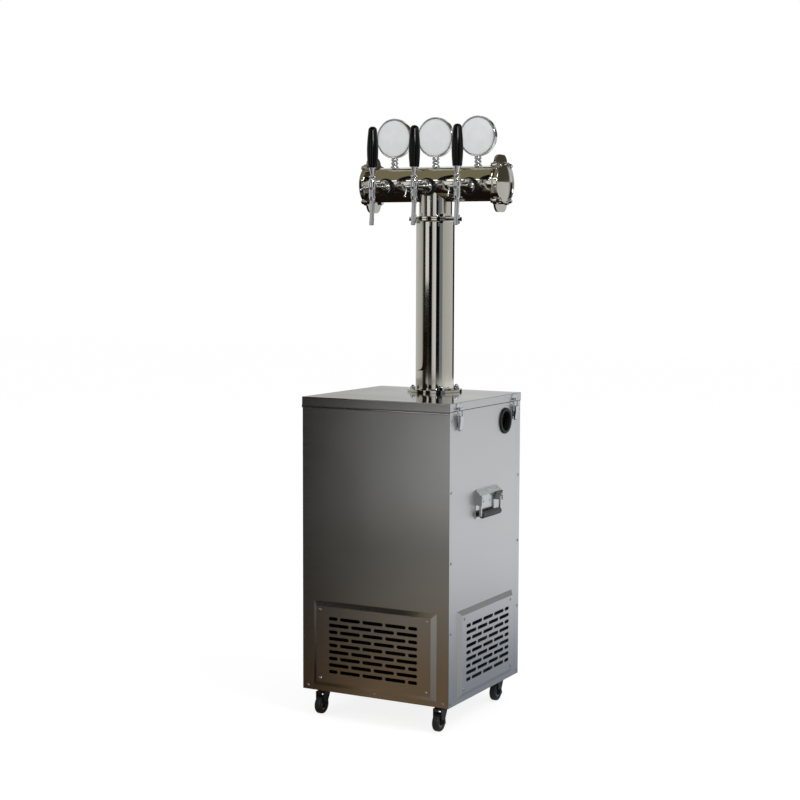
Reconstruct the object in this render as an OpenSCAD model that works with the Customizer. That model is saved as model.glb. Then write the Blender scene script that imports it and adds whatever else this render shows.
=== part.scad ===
// Draft beer cooler: a stainless cabinet on casters with a water bath and its
// cooling machine inside, and a three-tap tee tower standing on the lid.
// Millimetres, +Z up, front at -Y, origin on the floor under the cabinet's centre.

/* [Cabinet] */
// Width across the side panels
cabinet_w = 424; // [410:1:520]
// Depth from front panel to rear panel
cabinet_d = 410; // [400:1:520]
// Height from the underside to the lid's top
cabinet_h = 760; // [740:1:900]
// Thickness of the sheet steel
sheet_t = 1.2; // [0.8:0.1:1.6]
// Height of the lid's front lip
front_lip_h = 28; // [24:1:40]
// Height of the lid's side and rear lips
side_lip_h = 20; // [18:1:24]
// Width of the rear panel's wrap onto the sides
rear_wrap = 23; // [18:1:30]
// Screws along each upright edge of a side
side_screws = 5; // [3:1:7]

/* [Vents] */
// Width of the front vent cover
front_vent_w = 356; // [340:1:370]
// Width of the side vent covers
side_vent_w = 320; // [310:1:330]
// Height of the vent covers
vent_h = 222; // [210:1:230]
// How far a vent cover stands proud
vent_depth = 9; // [6:1:12]
// Width of the front cover's field of slots
front_slots_w = 257; // [200:1:262]
// Width of a side cover's field of slots
side_slots_w = 250; // [200:1:252]
// Rows of slots
vent_rows = 9; // [5:2:9]
// Distance between rows of slots
slot_pitch = 17.2; // [14:0.2:18]
// Height of a slot
slot_h = 9; // [5:0.2:10]

/* [Casters] */
// Height from the floor to the cabinet's underside
caster_h = 68; // [66:1:76]
// Radius of a wheel
wheel_r = 24; // [20:0.5:25]
// Width of a wheel's tread
wheel_w = 17; // [12:1:20]
// Distance from the swivel axis to the axle, level
caster_trail = 14; // [10:1:20]
// Inset of the swivel axis from the cabinet's sides
caster_inset = 40; // [34:1:60]

/* [Latches and handles] */
// Distance of a latch from the cabinet's front or rear edge
latch_inset = 43; // [38:1:60]
// Height of the carry handle's pivot above the floor
handle_z = 575; // [480:1:620]
// Width of the carry handle's plate
handle_w = 126; // [116:1:140]
// Drop from the carry handle's pivot to its grip
handle_drop = 42; // [38:1:52]
// Radius of the carry handle's grip
grip_r = 8.5; // [7:0.5:9.5]

/* [Hose port] */
// Radius of the clear bore
port_r = 25; // [18:0.5:27]
// Radius of the port's outer flange
port_flange_r = 34; // [32:0.5:36]
// Distance of the port behind the cabinet's centre
port_y = 110; // [80:1:112]
// Depth of the port's centre below the lid's top
port_drop = 68; // [66:1:72]

/* [Tower] */
// Distance of the tower behind the cabinet's centre
tower_y = 118; // [90:1:125]
// Radius of the column
column_r = 51; // [48:0.5:52]
// Radius of the tee's tube
tee_r = 46; // [44:0.5:48]
// Radius of the tee's upright stub
stub_r = 44; // [40:0.5:45]
// Wall of the tower's tubes
tube_wall = 2; // [1.5:0.1:3]
// Height of the flange joint above the lid
collar_h = 457; // [380:1:460]
// Height of the tee's axis above the lid
tee_h = 548; // [545:1:620]
// Distance from the column to the flanges at the tee's ends
tee_half = 189; // [185:1:240]
// Radius of the base flange
base_flange_r = 73; // [70:0.5:80]
// Radius of the collar flanges
collar_flange_r = 70; // [67:0.5:76]
// Thickness of the base flange
base_flange_t = 7; // [4:0.5:8]
// Thickness of each collar flange
collar_flange_t = 5.5; // [4:0.5:8]
// Thickness of the flanges at the tee's ends
end_flange_t = 6; // [4:0.5:8]

/* [Taps] */
// Distance between neighbouring taps
tap_pitch = 124; // [115:1:130]
// Distance from the tee's axis to the upright axis of a tap
tap_reach = 119; // [112:1:130]
// Length of a tap handle
grip_h = 107; // [90:1:130]
// Largest radius of a tap handle
grip_max_r = 15; // [13:0.5:18]
// Depth of the spout's mouth below the tee's axis
spout_drop = 109; // [90:1:120]
// Outer radius of the spout
spout_r = 6; // [5.2:0.1:6.5]
// Forward lean of the spouts
spout_tilt = 5; // [0:1:16]
// Radius of a medallion
medallion_r = 52.5; // [45:0.5:58]
// Depth of a medallion
medallion_d = 16; // [12:1:22]
// Height of a medallion's centre above the tee's axis
medallion_h = 123; // [118:1:140]

/* [Water bath] */
// Height of the tank's shelf above the cabinet's underside
shelf_h = 255; // [250:1:270]
// Room over the tank for the agitator and the lid's foam
bath_room = 121.5; // [120:0.5:150]
// Thickness of the insulation
foam_t = 36; // [30:1:45]
// Radius of the evaporator coil
evap_r = 134; // [126:1:136]
// Turns of the evaporator coil
evap_turns = 7; // [4:1:9]
// Turns of each beer coil
beer_turns = 5; // [3:1:6]
// Radius of the beer tubes
beer_tube_r = 4; // [3:0.5:5]

/* [Hidden] */
$fn = 48;

// Clearances
run_gap = 0.3;      // between pieces that pass each other
shaft_gap = 0.06;   // radial, between a shaft and its bore
screw_gap = 0.15;   // radial, between a screw and its hole
cut = 0.5;          // how far a cutter runs past a face

// Main planes
half_w = cabinet_w / 2;
half_d = cabinet_d / 2;
z_under = caster_h;
z_lid = z_under + cabinet_h;
z_panel_top = z_lid - sheet_t;
z_seam = z_lid - side_lip_h;
inner_w = half_w - 2 * sheet_t;
inner_d = half_d - sheet_t;
lip_gap = 0.3;
lid_over = lip_gap + sheet_t;

// Hose port
port_wall = 4;
port_flange_t = 5;
port_bevel = 2;
port_nut_h = 8;
port_nut_w = 7;

// Panel screws
screw_r = 1.6;
screw_head_r = 3.6;
screw_head_h = 2;
screw_top_r = 2.34;
screw_slot = 0.7;
screw_edge = 9;
screw_low = z_under + 10;
screw_high = z_seam - 24;
front_screw_in = 16;
front_screw_x = [-half_w + front_screw_in, 0, half_w - front_screw_in];
side_screw_z = [for (i = [0 : side_screws - 1]) screw_low + i * (screw_high - screw_low) / (side_screws - 1)];
return_w = 24;
rear_lap = 6;

// Vent covers
vent_z = z_under + 14 + vent_h / 2;
vent_bevel = 12;
slots_tall = (vent_rows - 1) * slot_pitch + slot_h;
opening_rim = 5;
vent_screw_in = [24, 21.5];
slot_gap = 7;
vent_screws = [for (sx = [-1, 1], sy = [-1, 1]) [sx, sy]];

// Base pan and shelf
pan_t = 2;
pan_rim = 28;
shelf_t = 1.5;
shelf_rim = 18;
z_shelf = z_under + shelf_h;
z_bath = z_shelf + shelf_t;
bath_h = cabinet_h - shelf_h - shelf_t - bath_room;
z_tank_top = z_bath + bath_h;
tank_floor = z_bath + foam_t;
tank_t = 1;
tank_rim = 16;
tank_w = inner_w - foam_t;
tank_d = inner_d - foam_t;
lid_foam_t = 26;
lid_foam_in = 8;

// Tower planes
z_collar = z_lid + collar_h;
z_tee = z_lid + tee_h;
line_hole_r = 30;
base_bolt_r = base_flange_r - 12;
collar_bolt_r = collar_flange_r - 10;
bolt_r = 4;
nut_r = 7.4;
nut_h = 6.5;
bolt_tip = 3;
nut_dome_r = 5;
bolt_gap = 0.2;
square_turns = [45, 135, 225, 315];

// Tee ends
end_disc_r = 60;
ear_reach = 74;
ear_top = 58;
ear_foot = 84;
ear_round = 16;
cap_r = 54;
cap_t = 13;
cap_face_r = 46;
lug_y = 33;
lug_z = 45;
lug_t = 5;
end_bolts = [for (sy = [-1, 1], sz = [-1, 1]) [lug_y * sy, lug_z * sz]];
lug_r = 10;

// Taps
tap_x = [-tap_pitch, 0, tap_pitch];
shank_r = 9;
shank_w = -8;
shank_in = tee_r - 22;
gasket_r = 23.5;
gasket_front = tee_r + 5;
collar_r = 18.5;
tap_body_r = 10.5;
pivot_w = 10;
ball_r = 7.5;
ferrule_top = 40;
stud_r = 4;
stud_h = 22;
flow_w = -11;
spout_w = -46;
spout_l = (spout_drop + spout_w) / cos(spout_tilt);
knuckle_r = spout_r + 1.2;
flow_r = 3;
flow_boss_x = -18;
flow_arm = 26;
flow_rest = [75, 22, 22];
stem_r = 7;
stem_ring_r = 9.6;
stem_foot_r = 10.5;
stem_top_r = 8;
disc_r = medallion_r - 4.8;
disc_t = 2.5;
disc_set = 1.4;

// Water bath contents
evap_tube_r = 4.8;
evap_rest = 108;    // of the bath's depth, not taken up by the evaporator's turns
beer_rest = 176;    // of the bath's depth, not taken up by the beer coils' turns
evap_pitch = (bath_h - foam_t - evap_rest) / evap_turns;
beer_pitch = (bath_h - foam_t - beer_rest) / beer_turns;
beer_r = [evap_r - 28, evap_r - 56, evap_r - 84];
beer_end = [128, 90, 48];
coil_z = tank_floor + 40;
coil_foot = 15;
coil_steps = 16;
tube_sides = 6;
line_x = [-16, 0, 16];
bridge_w = 46;
bridge_t = 3;
agitator_r = 4;
agitator_can_r = 36;
agitator_can_h = 52;
agitator_cap_r = 24;
agitator_cap_h = 6;
propeller_z = coil_z + 70;
propeller_r = 23;
propeller_root = 5;
propeller_hub_r = 9;
propeller_hub_h = 18;
propeller_chord = 14;
propeller_t = 1.6;
propeller_pitch = 28;

// Cooling machine
z_floor = z_under + pan_t;
machine_h = 215;
cond_w = 320;
cond_d = 44;
cond_y = -inner_d + 36;
fin_count = 21;
fin_t = 0.8;
fin_in = 1;
cond_side_t = 2;
cond_edge = 6;
cond_tubes = 5;
cond_tube_r = 4.8;
cond_tube_z = 30;
cond_tube_pitch = 38;
cond_tube_out = 6;
fan_r = 84;
fan_gap = 26;
fan_y = cond_y + cond_d + fan_gap;
fan_bar_x = fan_r + 20;
fan_bar_w = 10;
fan_bar_t = 3;
shroud_t = 1.5;
shroud_gap = 5;
fan_hub_r = 20;
fan_hub_h = 22;
fan_blade_w = 40;
fan_blade_t = 1.6;
fan_blade_pitch = 32;
fan_root_in = 4;
fan_tip_in = 6;
fan_set = 1;
fan_shaft_r = 3;
fan_shaft_out = 12;
fan_shaft_in = 1;
fan_motor_r = 32;
fan_motor_l = 50;
fan_z = z_floor + machine_h / 2;
comp_r = 74;
comp_h = 168;
comp_base_r = 48;
comp_round = 22;
comp_dome = 44;
comp_inset = 142;
comp_back = 38;
comp_x = comp_inset - half_w;
comp_y = inner_d - comp_r - comp_back;
comp_foot_r = 10;
comp_foot_h = 14;
comp_feet = [62, 56];
comp_rail = [148, 136, 3];
comp_box = [22, 56, 62];
comp_box_in = 8;
comp_box_z = 60;
comp_stub_r = 4;
comp_stub_l = 26;
comp_stub_in = 6;
comp_stub_z = 110;
gland_x = half_w - 72;
gland_z = z_under + 52;
gland_r = 9;
gland_bore_r = 5;
gland_hex_r = 14;
gland_hex_h = 4;
gland_cap_r = 11;
gland_cap_top_r = 8.5;
gland_cap_h = 7;
gland_tail = 6;
gland_lap = 1;
gland_nut_r = 13;
gland_nut_h = 5;

// Latches: out is the distance from the side panel, up is measured from the seam
catch_t = 1.5;
catch_w = 28;
catch_in = lid_over;
bar_r = 1.5;
bar_out = 6.6;
bar_up = 6.3;
ledge_t = 1.5;
ledge_out = 11.1;
ledge_lip = 2.5;
ledge_w = 18;
lever_out = 7.4;
lever_up = -16;
bail_out = 6;
bail_up = -25;
latch_pin_r = 1.5;
bail_pin_r = 1.2;
latch_ear_y = 6.4;
latch_ear_t = 1.8;
ear_pin_r = 2.2;
lever_ear_y = 8.5;
lever_ear_t = 1.5;
bail_y = 11.5;
lever_face = 10;
lever_t = 1.5;
latch_y = half_d - latch_inset;

// Carry handles
plate_t = 2;
plate_top = 23;
plate_low = 51;
hood_h = 15;
hood_out = 12;
cheek_t = 2;
handle_out = 13;
handle_pin_r = 2.5;
eye_r = 6;
eye_w = 7;
arm_r = 3.8;
arm_y = handle_w / 2 - cheek_t - run_gap - eye_w / 2;
grip_len = 2 * (arm_y - arm_r) - 4;
grip_ribs = 12;

// Casters
caster_x = half_w - caster_inset;
caster_y = half_d - caster_inset;
caster_plate = 52;
caster_plate_t = 2.5;
race_r = 17;
race_h = 7;
crown_t = 3.6;
king_r = 5;
king_head_r = 7.5;
king_head_h = 2.2;
z_crown = z_under - caster_plate_t - race_h - run_gap;
leg_t = 2.5;
leg_in = wheel_w / 2 + 1.6;
axle_r = 3;
hub_r = 9;

// Frames for what sits on a panel: X along the panel, Y up, Z outwards
module at_front() {
    translate([0, -half_d, 0]) rotate([90, 0, 0]) children();
}

module at_side(side) {
    mirror([side < 0 ? 1 : 0, 0, 0]) translate([half_w, 0, 0]) rotate([90, 0, 90]) children();
}

module box(low, high) {
    translate(low) cube(high - low);
}

// A box centred in X between two Y and two Z planes
module wide_box(half, y0, y1, z0, z1) {
    box([-half, y0, z0], [half, y1, z1]);
}

// Points and frames for a tube swept along a path
function unit(v) = v / norm(v);
function tangent(p, i) = unit(p[min(i + 1, len(p) - 1)] - p[max(i - 1, 0)]);
function side_of(t) = unit(cross(abs(t.z) > 0.9 ? [1, 0, 0] : [0, 0, 1], t));
function carry(n, t) = unit(n - t * (n * t));
function normals(p, i = 0, acc = []) =
    i == len(p) ? acc
    : normals(p, i + 1, concat(acc, [i == 0 ? side_of(tangent(p, 0)) : carry(acc[i - 1], tangent(p, i))]));
function bend(a, b, c, n) =
    [for (i = [1 : n]) let (t = i / n) a * pow(1 - t, 2) + b * 2 * t * (1 - t) + c * pow(t, 2)];

module swept_tube(p, r, sides) {
    n = normals(p);
    count = len(p);
    points = [
        for (i = [0 : count - 1])
            let (t = tangent(p, i), b = cross(t, n[i]))
                for (k = [0 : sides - 1]) p[i] + r * (n[i] * cos(360 * k / sides) + b * sin(360 * k / sides))
    ];
    walls = [
        for (i = [0 : count - 2], k = [0 : sides - 1])
            let (a = i * sides + k, b = i * sides + (k + 1) % sides)
                for (f = [[a, b + sides, b], [a, a + sides, b + sides]]) f
    ];
    first = [for (k = [1 : sides - 2]) [0, k, k + 1]];
    base = (count - 1) * sides;
    last = [for (k = [1 : sides - 2]) [base, base + k + 1, base + k]];
    polyhedron(points, concat(walls, first, last), convexity = 10);
}

function helix(r, z0, pitch, turns, end_angle) =
    [for (i = [0 : turns * coil_steps])
        let (a = end_angle - 360 * (turns - i / coil_steps))
            [r * cos(a), r * sin(a), z0 + pitch * i / coil_steps]];
function self_gap(p, r) =
    min([for (i = [0 : len(p) - 1], j = [i + coil_steps / 2 : 1 : len(p) - 1]) norm(p[i] - p[j])]) - 2 * r;

// Cabinet
module screw_holes_side(depth) {
    for (z = side_screw_z, y = [-half_d + screw_edge, half_d - screw_edge])
        translate([y, z, -depth]) cylinder(r = screw_r + screw_gap, h = depth + cut);
}

module screw_holes_front(depth) {
    for (x = front_screw_x) translate([x, screw_low, -depth])
        cylinder(r = screw_r + screw_gap, h = depth + cut);
}

module vent_screw_spots(w) {
    for (s = vent_screws)
        translate([s.x * (w / 2 - vent_screw_in.x), vent_z + s.y * (vent_h / 2 - vent_screw_in.y), 0])
            children();
}

module vent_opening(w, slots_w) {
    translate([-slots_w / 2 - opening_rim, vent_z - slots_tall / 2 - opening_rim, -2 * sheet_t])
        cube([slots_w + 2 * opening_rim, slots_tall + 2 * opening_rim, 4 * sheet_t]);
    vent_screw_spots(w) translate([0, 0, -2 * sheet_t]) cylinder(r = screw_r + screw_gap, h = 4 * sheet_t);
}

module base_pan() {
    color("silver") difference() {
        wide_box(inner_w, -inner_d, inner_d, z_under, z_under + pan_rim);
        wide_box(inner_w - sheet_t, -inner_d + sheet_t, inner_d - sheet_t, z_floor, z_under + pan_rim + cut);
        at_front() screw_holes_front(3 * sheet_t);
    }
}

module front_panel() {
    color("dimgray") difference() {
        union() {
            wide_box(half_w, -half_d, -inner_d, z_under, z_panel_top);
            for (side = [0, 1]) mirror([side, 0, 0])
                box([inner_w, -inner_d, z_under], [inner_w + sheet_t, -inner_d + return_w, z_panel_top]);
        }
        at_front() screw_holes_front(3 * sheet_t);
        at_front() vent_opening(front_vent_w, front_slots_w);
        for (side = [-1, 1]) at_side(side) screw_holes_side(3 * sheet_t);
    }
}

module side_panel(side) {
    difference() {
        mirror([side < 0 ? 1 : 0, 0, 0]) union() {
            box([half_w - sheet_t, -inner_d, z_under], [half_w, half_d - rear_wrap - run_gap, z_panel_top]);
            box([inner_w, half_d - rear_wrap - rear_lap, z_under], [half_w - sheet_t, inner_d, z_panel_top]);
        }
        at_side(side) screw_holes_side(3 * sheet_t);
        at_side(side) vent_opening(side_vent_w, side_slots_w);
        if (side > 0) at_side(side) translate([port_y, z_lid - port_drop, -3 * sheet_t])
            cylinder(r = port_r + port_wall + screw_gap, h = 6 * sheet_t);
    }
}

module side_panels() {
    color("lightgray") for (side = [-1, 1]) side_panel(side);
}

module rear_panel() {
    color("lightgray") difference() {
        union() {
            wide_box(half_w, inner_d, half_d, z_under, z_panel_top);
            for (side = [0, 1]) mirror([side, 0, 0])
                box([half_w - sheet_t, half_d - rear_wrap, z_under], [half_w, inner_d, z_panel_top]);
        }
        for (side = [-1, 1]) at_side(side) screw_holes_side(3 * sheet_t);
        translate([gland_x, inner_d - cut, gland_z]) rotate([-90, 0, 0])
            cylinder(r = gland_r + screw_gap, h = sheet_t + 2 * cut);
    }
}

module bevelled_box(w, h, depth, bevel) {
    intersection() {
        rotate([90, 0, 0]) linear_extrude(h, center = true)
            polygon([[-w / 2, 0], [w / 2, 0], [w / 2 - bevel, depth], [-w / 2 + bevel, depth]]);
        rotate([90, 0, 90]) linear_extrude(w, center = true)
            polygon([[-h / 2, 0], [h / 2, 0], [h / 2 - bevel, depth], [-h / 2 + bevel, depth]]);
    }
}

module slot(length) {
    square([length - slot_h, slot_h], center = true);
    for (s = [-1, 1]) translate([s * (length - slot_h) / 2, 0]) circle(d = slot_h);
}

// One row of slots: four long ones, or three long between two short
module slot_row(width, offset_row) {
    long = (width - 3 * slot_gap) / 4;
    short = (width - 3 * long - 4 * slot_gap) / 2;
    lengths = offset_row ? [short, long, long, long, short] : [long, long, long, long];
    for (i = [0 : len(lengths) - 1]) {
        before = i == 0 ? 0 : [for (k = 0, s = lengths[0]; k < i; k = k + 1, s = s + lengths[k]) s][i - 1];
        translate([-width / 2 + before + i * slot_gap + lengths[i] / 2, 0]) slot(lengths[i]);
    }
}

module vent_cover(w, slots_w) {
    difference() {
        translate([0, vent_z, 0]) bevelled_box(w, vent_h, vent_depth, vent_bevel);
        translate([0, vent_z, 0])
            bevelled_box(w - 2 * sheet_t, vent_h - 2 * sheet_t, vent_depth - sheet_t, vent_bevel - sheet_t);
        for (i = [0 : vent_rows - 1])
            translate([0, vent_z + (i - (vent_rows - 1) / 2) * slot_pitch, 0])
                linear_extrude(vent_depth + cut) slot_row(slots_w, i % 2 == 0);
        vent_screw_spots(w) cylinder(r = screw_r + screw_gap, h = vent_depth + cut);
    }
}

module vent_covers() {
    color("gray") {
        at_front() vent_cover(front_vent_w, front_slots_w);
        for (side = [-1, 1]) at_side(side) vent_cover(side_vent_w, side_slots_w);
    }
}

// Pan-head screw: its head stands on Z = 0 and its shank runs down
module screw(length) {
    difference() {
        union() {
            cylinder(r = screw_head_r, h = screw_head_h / 2);
            translate([0, 0, screw_head_h / 2])
                cylinder(r1 = screw_head_r, r2 = screw_top_r, h = screw_head_h / 2);
            translate([0, 0, -length]) cylinder(r = screw_r, h = length);
        }
        for (a = [0, 90]) rotate(a) translate([0, 0, screw_head_h])
            cube([screw_head_r, screw_slot, screw_head_h], center = true);
    }
}

module cabinet_screws() {
    color("whitesmoke") {
        for (side = [-1, 1]) at_side(side) {
            for (z = side_screw_z, y = [-half_d + screw_edge, half_d - screw_edge])
                translate([y, z, 0]) screw(2 * sheet_t);
            vent_screw_spots(side_vent_w) translate([0, 0, vent_depth]) screw(vent_depth + sheet_t);
        }
        at_front() {
            for (x = front_screw_x) translate([x, screw_low, 0]) screw(2 * sheet_t);
            vent_screw_spots(front_vent_w) translate([0, 0, vent_depth]) screw(vent_depth + sheet_t);
        }
    }
}

module base_bolt_spots() {
    for (a = square_turns) translate([0, tower_y, 0]) rotate(a) translate([base_bolt_r, 0, 0]) children();
}

module lid() {
    out_w = half_w + lid_over;
    out_d = half_d + lid_over;
    color("lightgray") difference() {
        union() {
            wide_box(out_w, -out_d, out_d, z_panel_top, z_lid);
            wide_box(out_w, -out_d, -out_d + sheet_t, z_lid - front_lip_h, z_lid);
            wide_box(out_w, out_d - sheet_t, out_d, z_seam, z_lid);
            for (side = [0, 1]) mirror([side, 0, 0])
                box([out_w - sheet_t, -out_d, z_seam], [out_w, out_d, z_lid]);
        }
        translate([0, tower_y, z_panel_top - cut]) cylinder(r = line_hole_r, h = sheet_t + 2 * cut);
        base_bolt_spots() translate([0, 0, z_panel_top - cut])
            cylinder(r = bolt_r + bolt_gap, h = sheet_t + 2 * cut);
    }
}

module foam_insulation() {
    color("lightyellow") {
        difference() {
            wide_box(inner_w - lid_foam_in, -inner_d + return_w + lid_foam_in, inner_d - lid_foam_in,
                z_panel_top - lid_foam_t, z_panel_top);
            translate([0, tower_y, z_panel_top - lid_foam_t - cut])
                cylinder(r = line_hole_r, h = lid_foam_t + 2 * cut);
            base_bolt_spots() translate([0, 0, z_panel_top - lid_foam_t - cut])
                cylinder(r = nut_r + 1, h = lid_foam_t + 2 * cut);
        }
        difference() {
            wide_box(inner_w, -inner_d, inner_d, z_bath, z_tank_top);
            wide_box(tank_w, -tank_d, tank_d, tank_floor, z_tank_top + cut);
        }
    }
}

module tank_shelf() {
    color("silver") difference() {
        wide_box(inner_w, -inner_d, inner_d, z_shelf - shelf_rim, z_bath);
        wide_box(inner_w - sheet_t, -inner_d + sheet_t, inner_d - sheet_t,
            z_shelf - shelf_rim - cut, z_shelf);
    }
}

module water_tank() {
    color("silver") difference() {
        union() {
            wide_box(tank_w, -tank_d, tank_d, tank_floor, z_tank_top + tank_t);
            wide_box(tank_w + tank_rim, -tank_d - tank_rim, tank_d + tank_rim,
                z_tank_top, z_tank_top + tank_t);
        }
        wide_box(tank_w - tank_t, -tank_d + tank_t, tank_d - tank_t,
            tank_floor + tank_t, z_tank_top + tank_t + cut);
    }
}

// Evaporator: a helix whose lower end stands on the tank's floor
module evaporator_coil() {
    path = helix(evap_r, coil_z, evap_pitch, evap_turns, 0);
    foot = [path[0].x, path[0].y, tank_floor + tank_t];
    echo("evaporator coil's least gap to itself", self_gap(path, evap_tube_r));
    rise = foot + [0, 0, coil_foot];
    color("peru") swept_tube(concat([foot, rise], bend(rise, path[0], path[2], 5),
        [for (i = [3 : len(path) - 1]) path[i]]), evap_tube_r, tube_sides);
}

// A beer line: wound in the bath, up through the lid and column, and out to its tap's shank
function beer_path(k) =
    let (
        coil = helix(beer_r[k], coil_z, beer_pitch, beer_turns, beer_end[k]),
        last = coil[len(coil) - 1],
        along = tangent(coil, len(coil) - 1),
        lift = last + 16 * [along.x, along.y, 0],
        riser = [lift.x, lift.y, z_tank_top - 30],
        entry = [line_x[k], tower_y, z_panel_top - lid_foam_t - 8],
        top = [line_x[k], tower_y, z_tee - 34],
        run_z = z_tee + shank_w,
        turn = [sign(line_x[k]) * 50, tower_y, run_z],
        corner = [tap_x[k], tower_y, run_z],
        finish = [tap_x[k], tower_y - shank_in, run_z],
        before = finish + [0, 4, 0],
        step = 26 * [sign(line_x[k]), 0, 0],
        foot = [coil[0].x, coil[0].y, tank_floor + tank_t]
    )
    concat(
        [foot, foot + [0, 0, coil_foot]],
        bend(foot + [0, 0, coil_foot], coil[0], coil[2], 5),
        [for (i = [3 : len(coil) - 1]) coil[i]],
        bend(last, lift, lift + [0, 0, 24], 4),
        [riser],
        bend(riser, [riser.x, riser.y, z_tank_top + 20], (riser + entry) / 2, 3),
        bend((riser + entry) / 2, [entry.x, entry.y, entry.z - 40], entry, 3),
        [top],
        k == 1 ? bend(top, corner, before, 6)
        : concat(bend(top, [top.x, tower_y, run_z], turn, 5), [corner - step],
            bend(corner - step, corner, before, 5)),
        [finish]
    );

module beer_lines() {
    color("white") for (k = [0 : 2]) {
        echo("beer coil's least gap to itself", k,
            self_gap(helix(beer_r[k], coil_z, beer_pitch, beer_turns, beer_end[k]), beer_tube_r));
        swept_tube(beer_path(k), beer_tube_r, tube_sides);
    }
}

z_bridge = z_tank_top + tank_t;
module agitator_motor() {
    color("darkslategray") difference() {
        union() {
            wide_box(tank_w + tank_rim, -bridge_w / 2, bridge_w / 2, z_bridge, z_bridge + bridge_t);
            translate([0, 0, z_bridge + bridge_t]) cylinder(r = agitator_can_r, h = agitator_can_h);
            translate([0, 0, z_bridge + bridge_t + agitator_can_h])
                cylinder(r1 = agitator_can_r, r2 = agitator_cap_r, h = agitator_cap_h);
        }
        translate([0, 0, z_bridge - cut])
            cylinder(r = agitator_r + shaft_gap, h = bridge_t + agitator_can_h / 2 + cut);
    }
}

module agitator_shaft() {
    high = z_bridge + bridge_t + agitator_can_h / 2 - run_gap;
    color("silver") {
        translate([0, 0, propeller_z]) cylinder(r = agitator_r, h = high - propeller_z);
        translate([0, 0, propeller_z]) cylinder(r = propeller_hub_r, h = propeller_hub_h);
        for (a = [0, 120, 240])
            rotate(a) translate([(propeller_root + propeller_r) / 2, 0, propeller_z + propeller_hub_h / 2])
                rotate([propeller_pitch, 0, 0])
                    cube([propeller_r - propeller_root, propeller_chord, propeller_t], center = true);
    }
}

// Hermetic compressor on rubber-footed rails
module compressor() {
    base = z_floor + comp_foot_h;
    color("black") translate([comp_x, comp_y, 0]) {
        for (sx = [-1, 1], sy = [-1, 1])
            translate([sx * comp_feet.x, sy * comp_feet.y, z_floor])
                cylinder(r = comp_foot_r, h = comp_foot_h);
        translate([-comp_rail.x / 2, -comp_rail.y / 2, base]) cube(comp_rail);
        translate([0, 0, base + comp_rail.z]) rotate_extrude() polygon(concat(
            [[0, 0], [comp_base_r, 0]],
            [for (a = [-60 : 20 : 0])
                [comp_r - comp_round + comp_round * cos(a), comp_round + comp_round * sin(a)]],
            [for (a = [0 : 15 : 90]) [comp_r * cos(a), comp_h - comp_dome + comp_dome * sin(a)]]
        ));
        translate([comp_r - comp_box_in, -comp_box.y / 2, base + comp_box_z]) cube(comp_box);
        translate([-comp_r + comp_stub_in, 0, base + comp_stub_z]) rotate([0, -90, 0])
            cylinder(r = comp_stub_r, h = comp_stub_l);
    }
}

module condenser() {
    pitch = cond_w / (fin_count + 1);
    color("darkgray") {
        for (x = [-cond_w / 2, cond_w / 2])
            translate([x - cond_side_t / 2, cond_y, z_floor]) cube([cond_side_t, cond_d, machine_h]);
        for (i = [1 : fin_count])
            translate([-cond_w / 2 + i * pitch - fin_t / 2, cond_y + fin_in, z_floor + cond_edge])
                cube([fin_t, cond_d - 2 * fin_in, machine_h - 2 * cond_edge]);
        for (i = [0 : cond_tubes - 1])
            translate([-cond_w / 2 - cond_tube_out, cond_y + cond_d / 2,
                z_floor + cond_tube_z + i * cond_tube_pitch])
                rotate([0, 90, 0]) cylinder(r = cond_tube_r, h = cond_w + 2 * cond_tube_out);
    }
}

module fan_motor() {
    shroud_y = cond_y + cond_d;
    bar_y = fan_y + fan_gap;
    color("dimgray") {
        difference() {
            box([-cond_w / 2, shroud_y, z_floor], [cond_w / 2, shroud_y + shroud_t, z_floor + machine_h]);
            translate([0, shroud_y - cut, fan_z]) rotate([-90, 0, 0])
                cylinder(r = fan_r + shroud_gap, h = shroud_t + 2 * cut);
        }
        for (s = [-1, 1])
            box([s * fan_bar_x - fan_bar_w / 2, shroud_y + shroud_t, fan_z - fan_bar_w],
                [s * fan_bar_x + fan_bar_w / 2, bar_y + fan_bar_t, fan_z + fan_bar_w]);
        wide_box(fan_bar_x, bar_y, bar_y + fan_bar_t, fan_z - fan_bar_w, fan_z + fan_bar_w);
        translate([0, bar_y + fan_bar_t, fan_z]) rotate([-90, 0, 0])
            cylinder(r = fan_motor_r, h = fan_motor_l);
        translate([0, fan_y - fan_shaft_out, fan_z]) rotate([-90, 0, 0])
            cylinder(r = fan_shaft_r, h = bar_y - fan_y + fan_shaft_out + fan_shaft_in);
    }
}

module fan_blade() {
    color("gainsboro") translate([0, fan_y, fan_z]) rotate([-90, 0, 0]) difference() {
        union() {
            translate([0, 0, fan_set - fan_hub_h / 2]) cylinder(r = fan_hub_r, h = fan_hub_h);
            for (a = [0 : 72 : 288])
                rotate(a) translate([fan_hub_r - fan_root_in, 0, fan_set]) rotate([fan_blade_pitch, 0, 0])
                    translate([0, -fan_blade_w / 2, -fan_blade_t / 2])
                        cube([fan_r - fan_tip_in - fan_hub_r + fan_root_in, fan_blade_w, fan_blade_t]);
        }
        translate([0, 0, fan_set - fan_hub_h / 2 - cut])
            cylinder(r = fan_shaft_r + shaft_gap, h = fan_hub_h + 2 * cut);
    }
}

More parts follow.
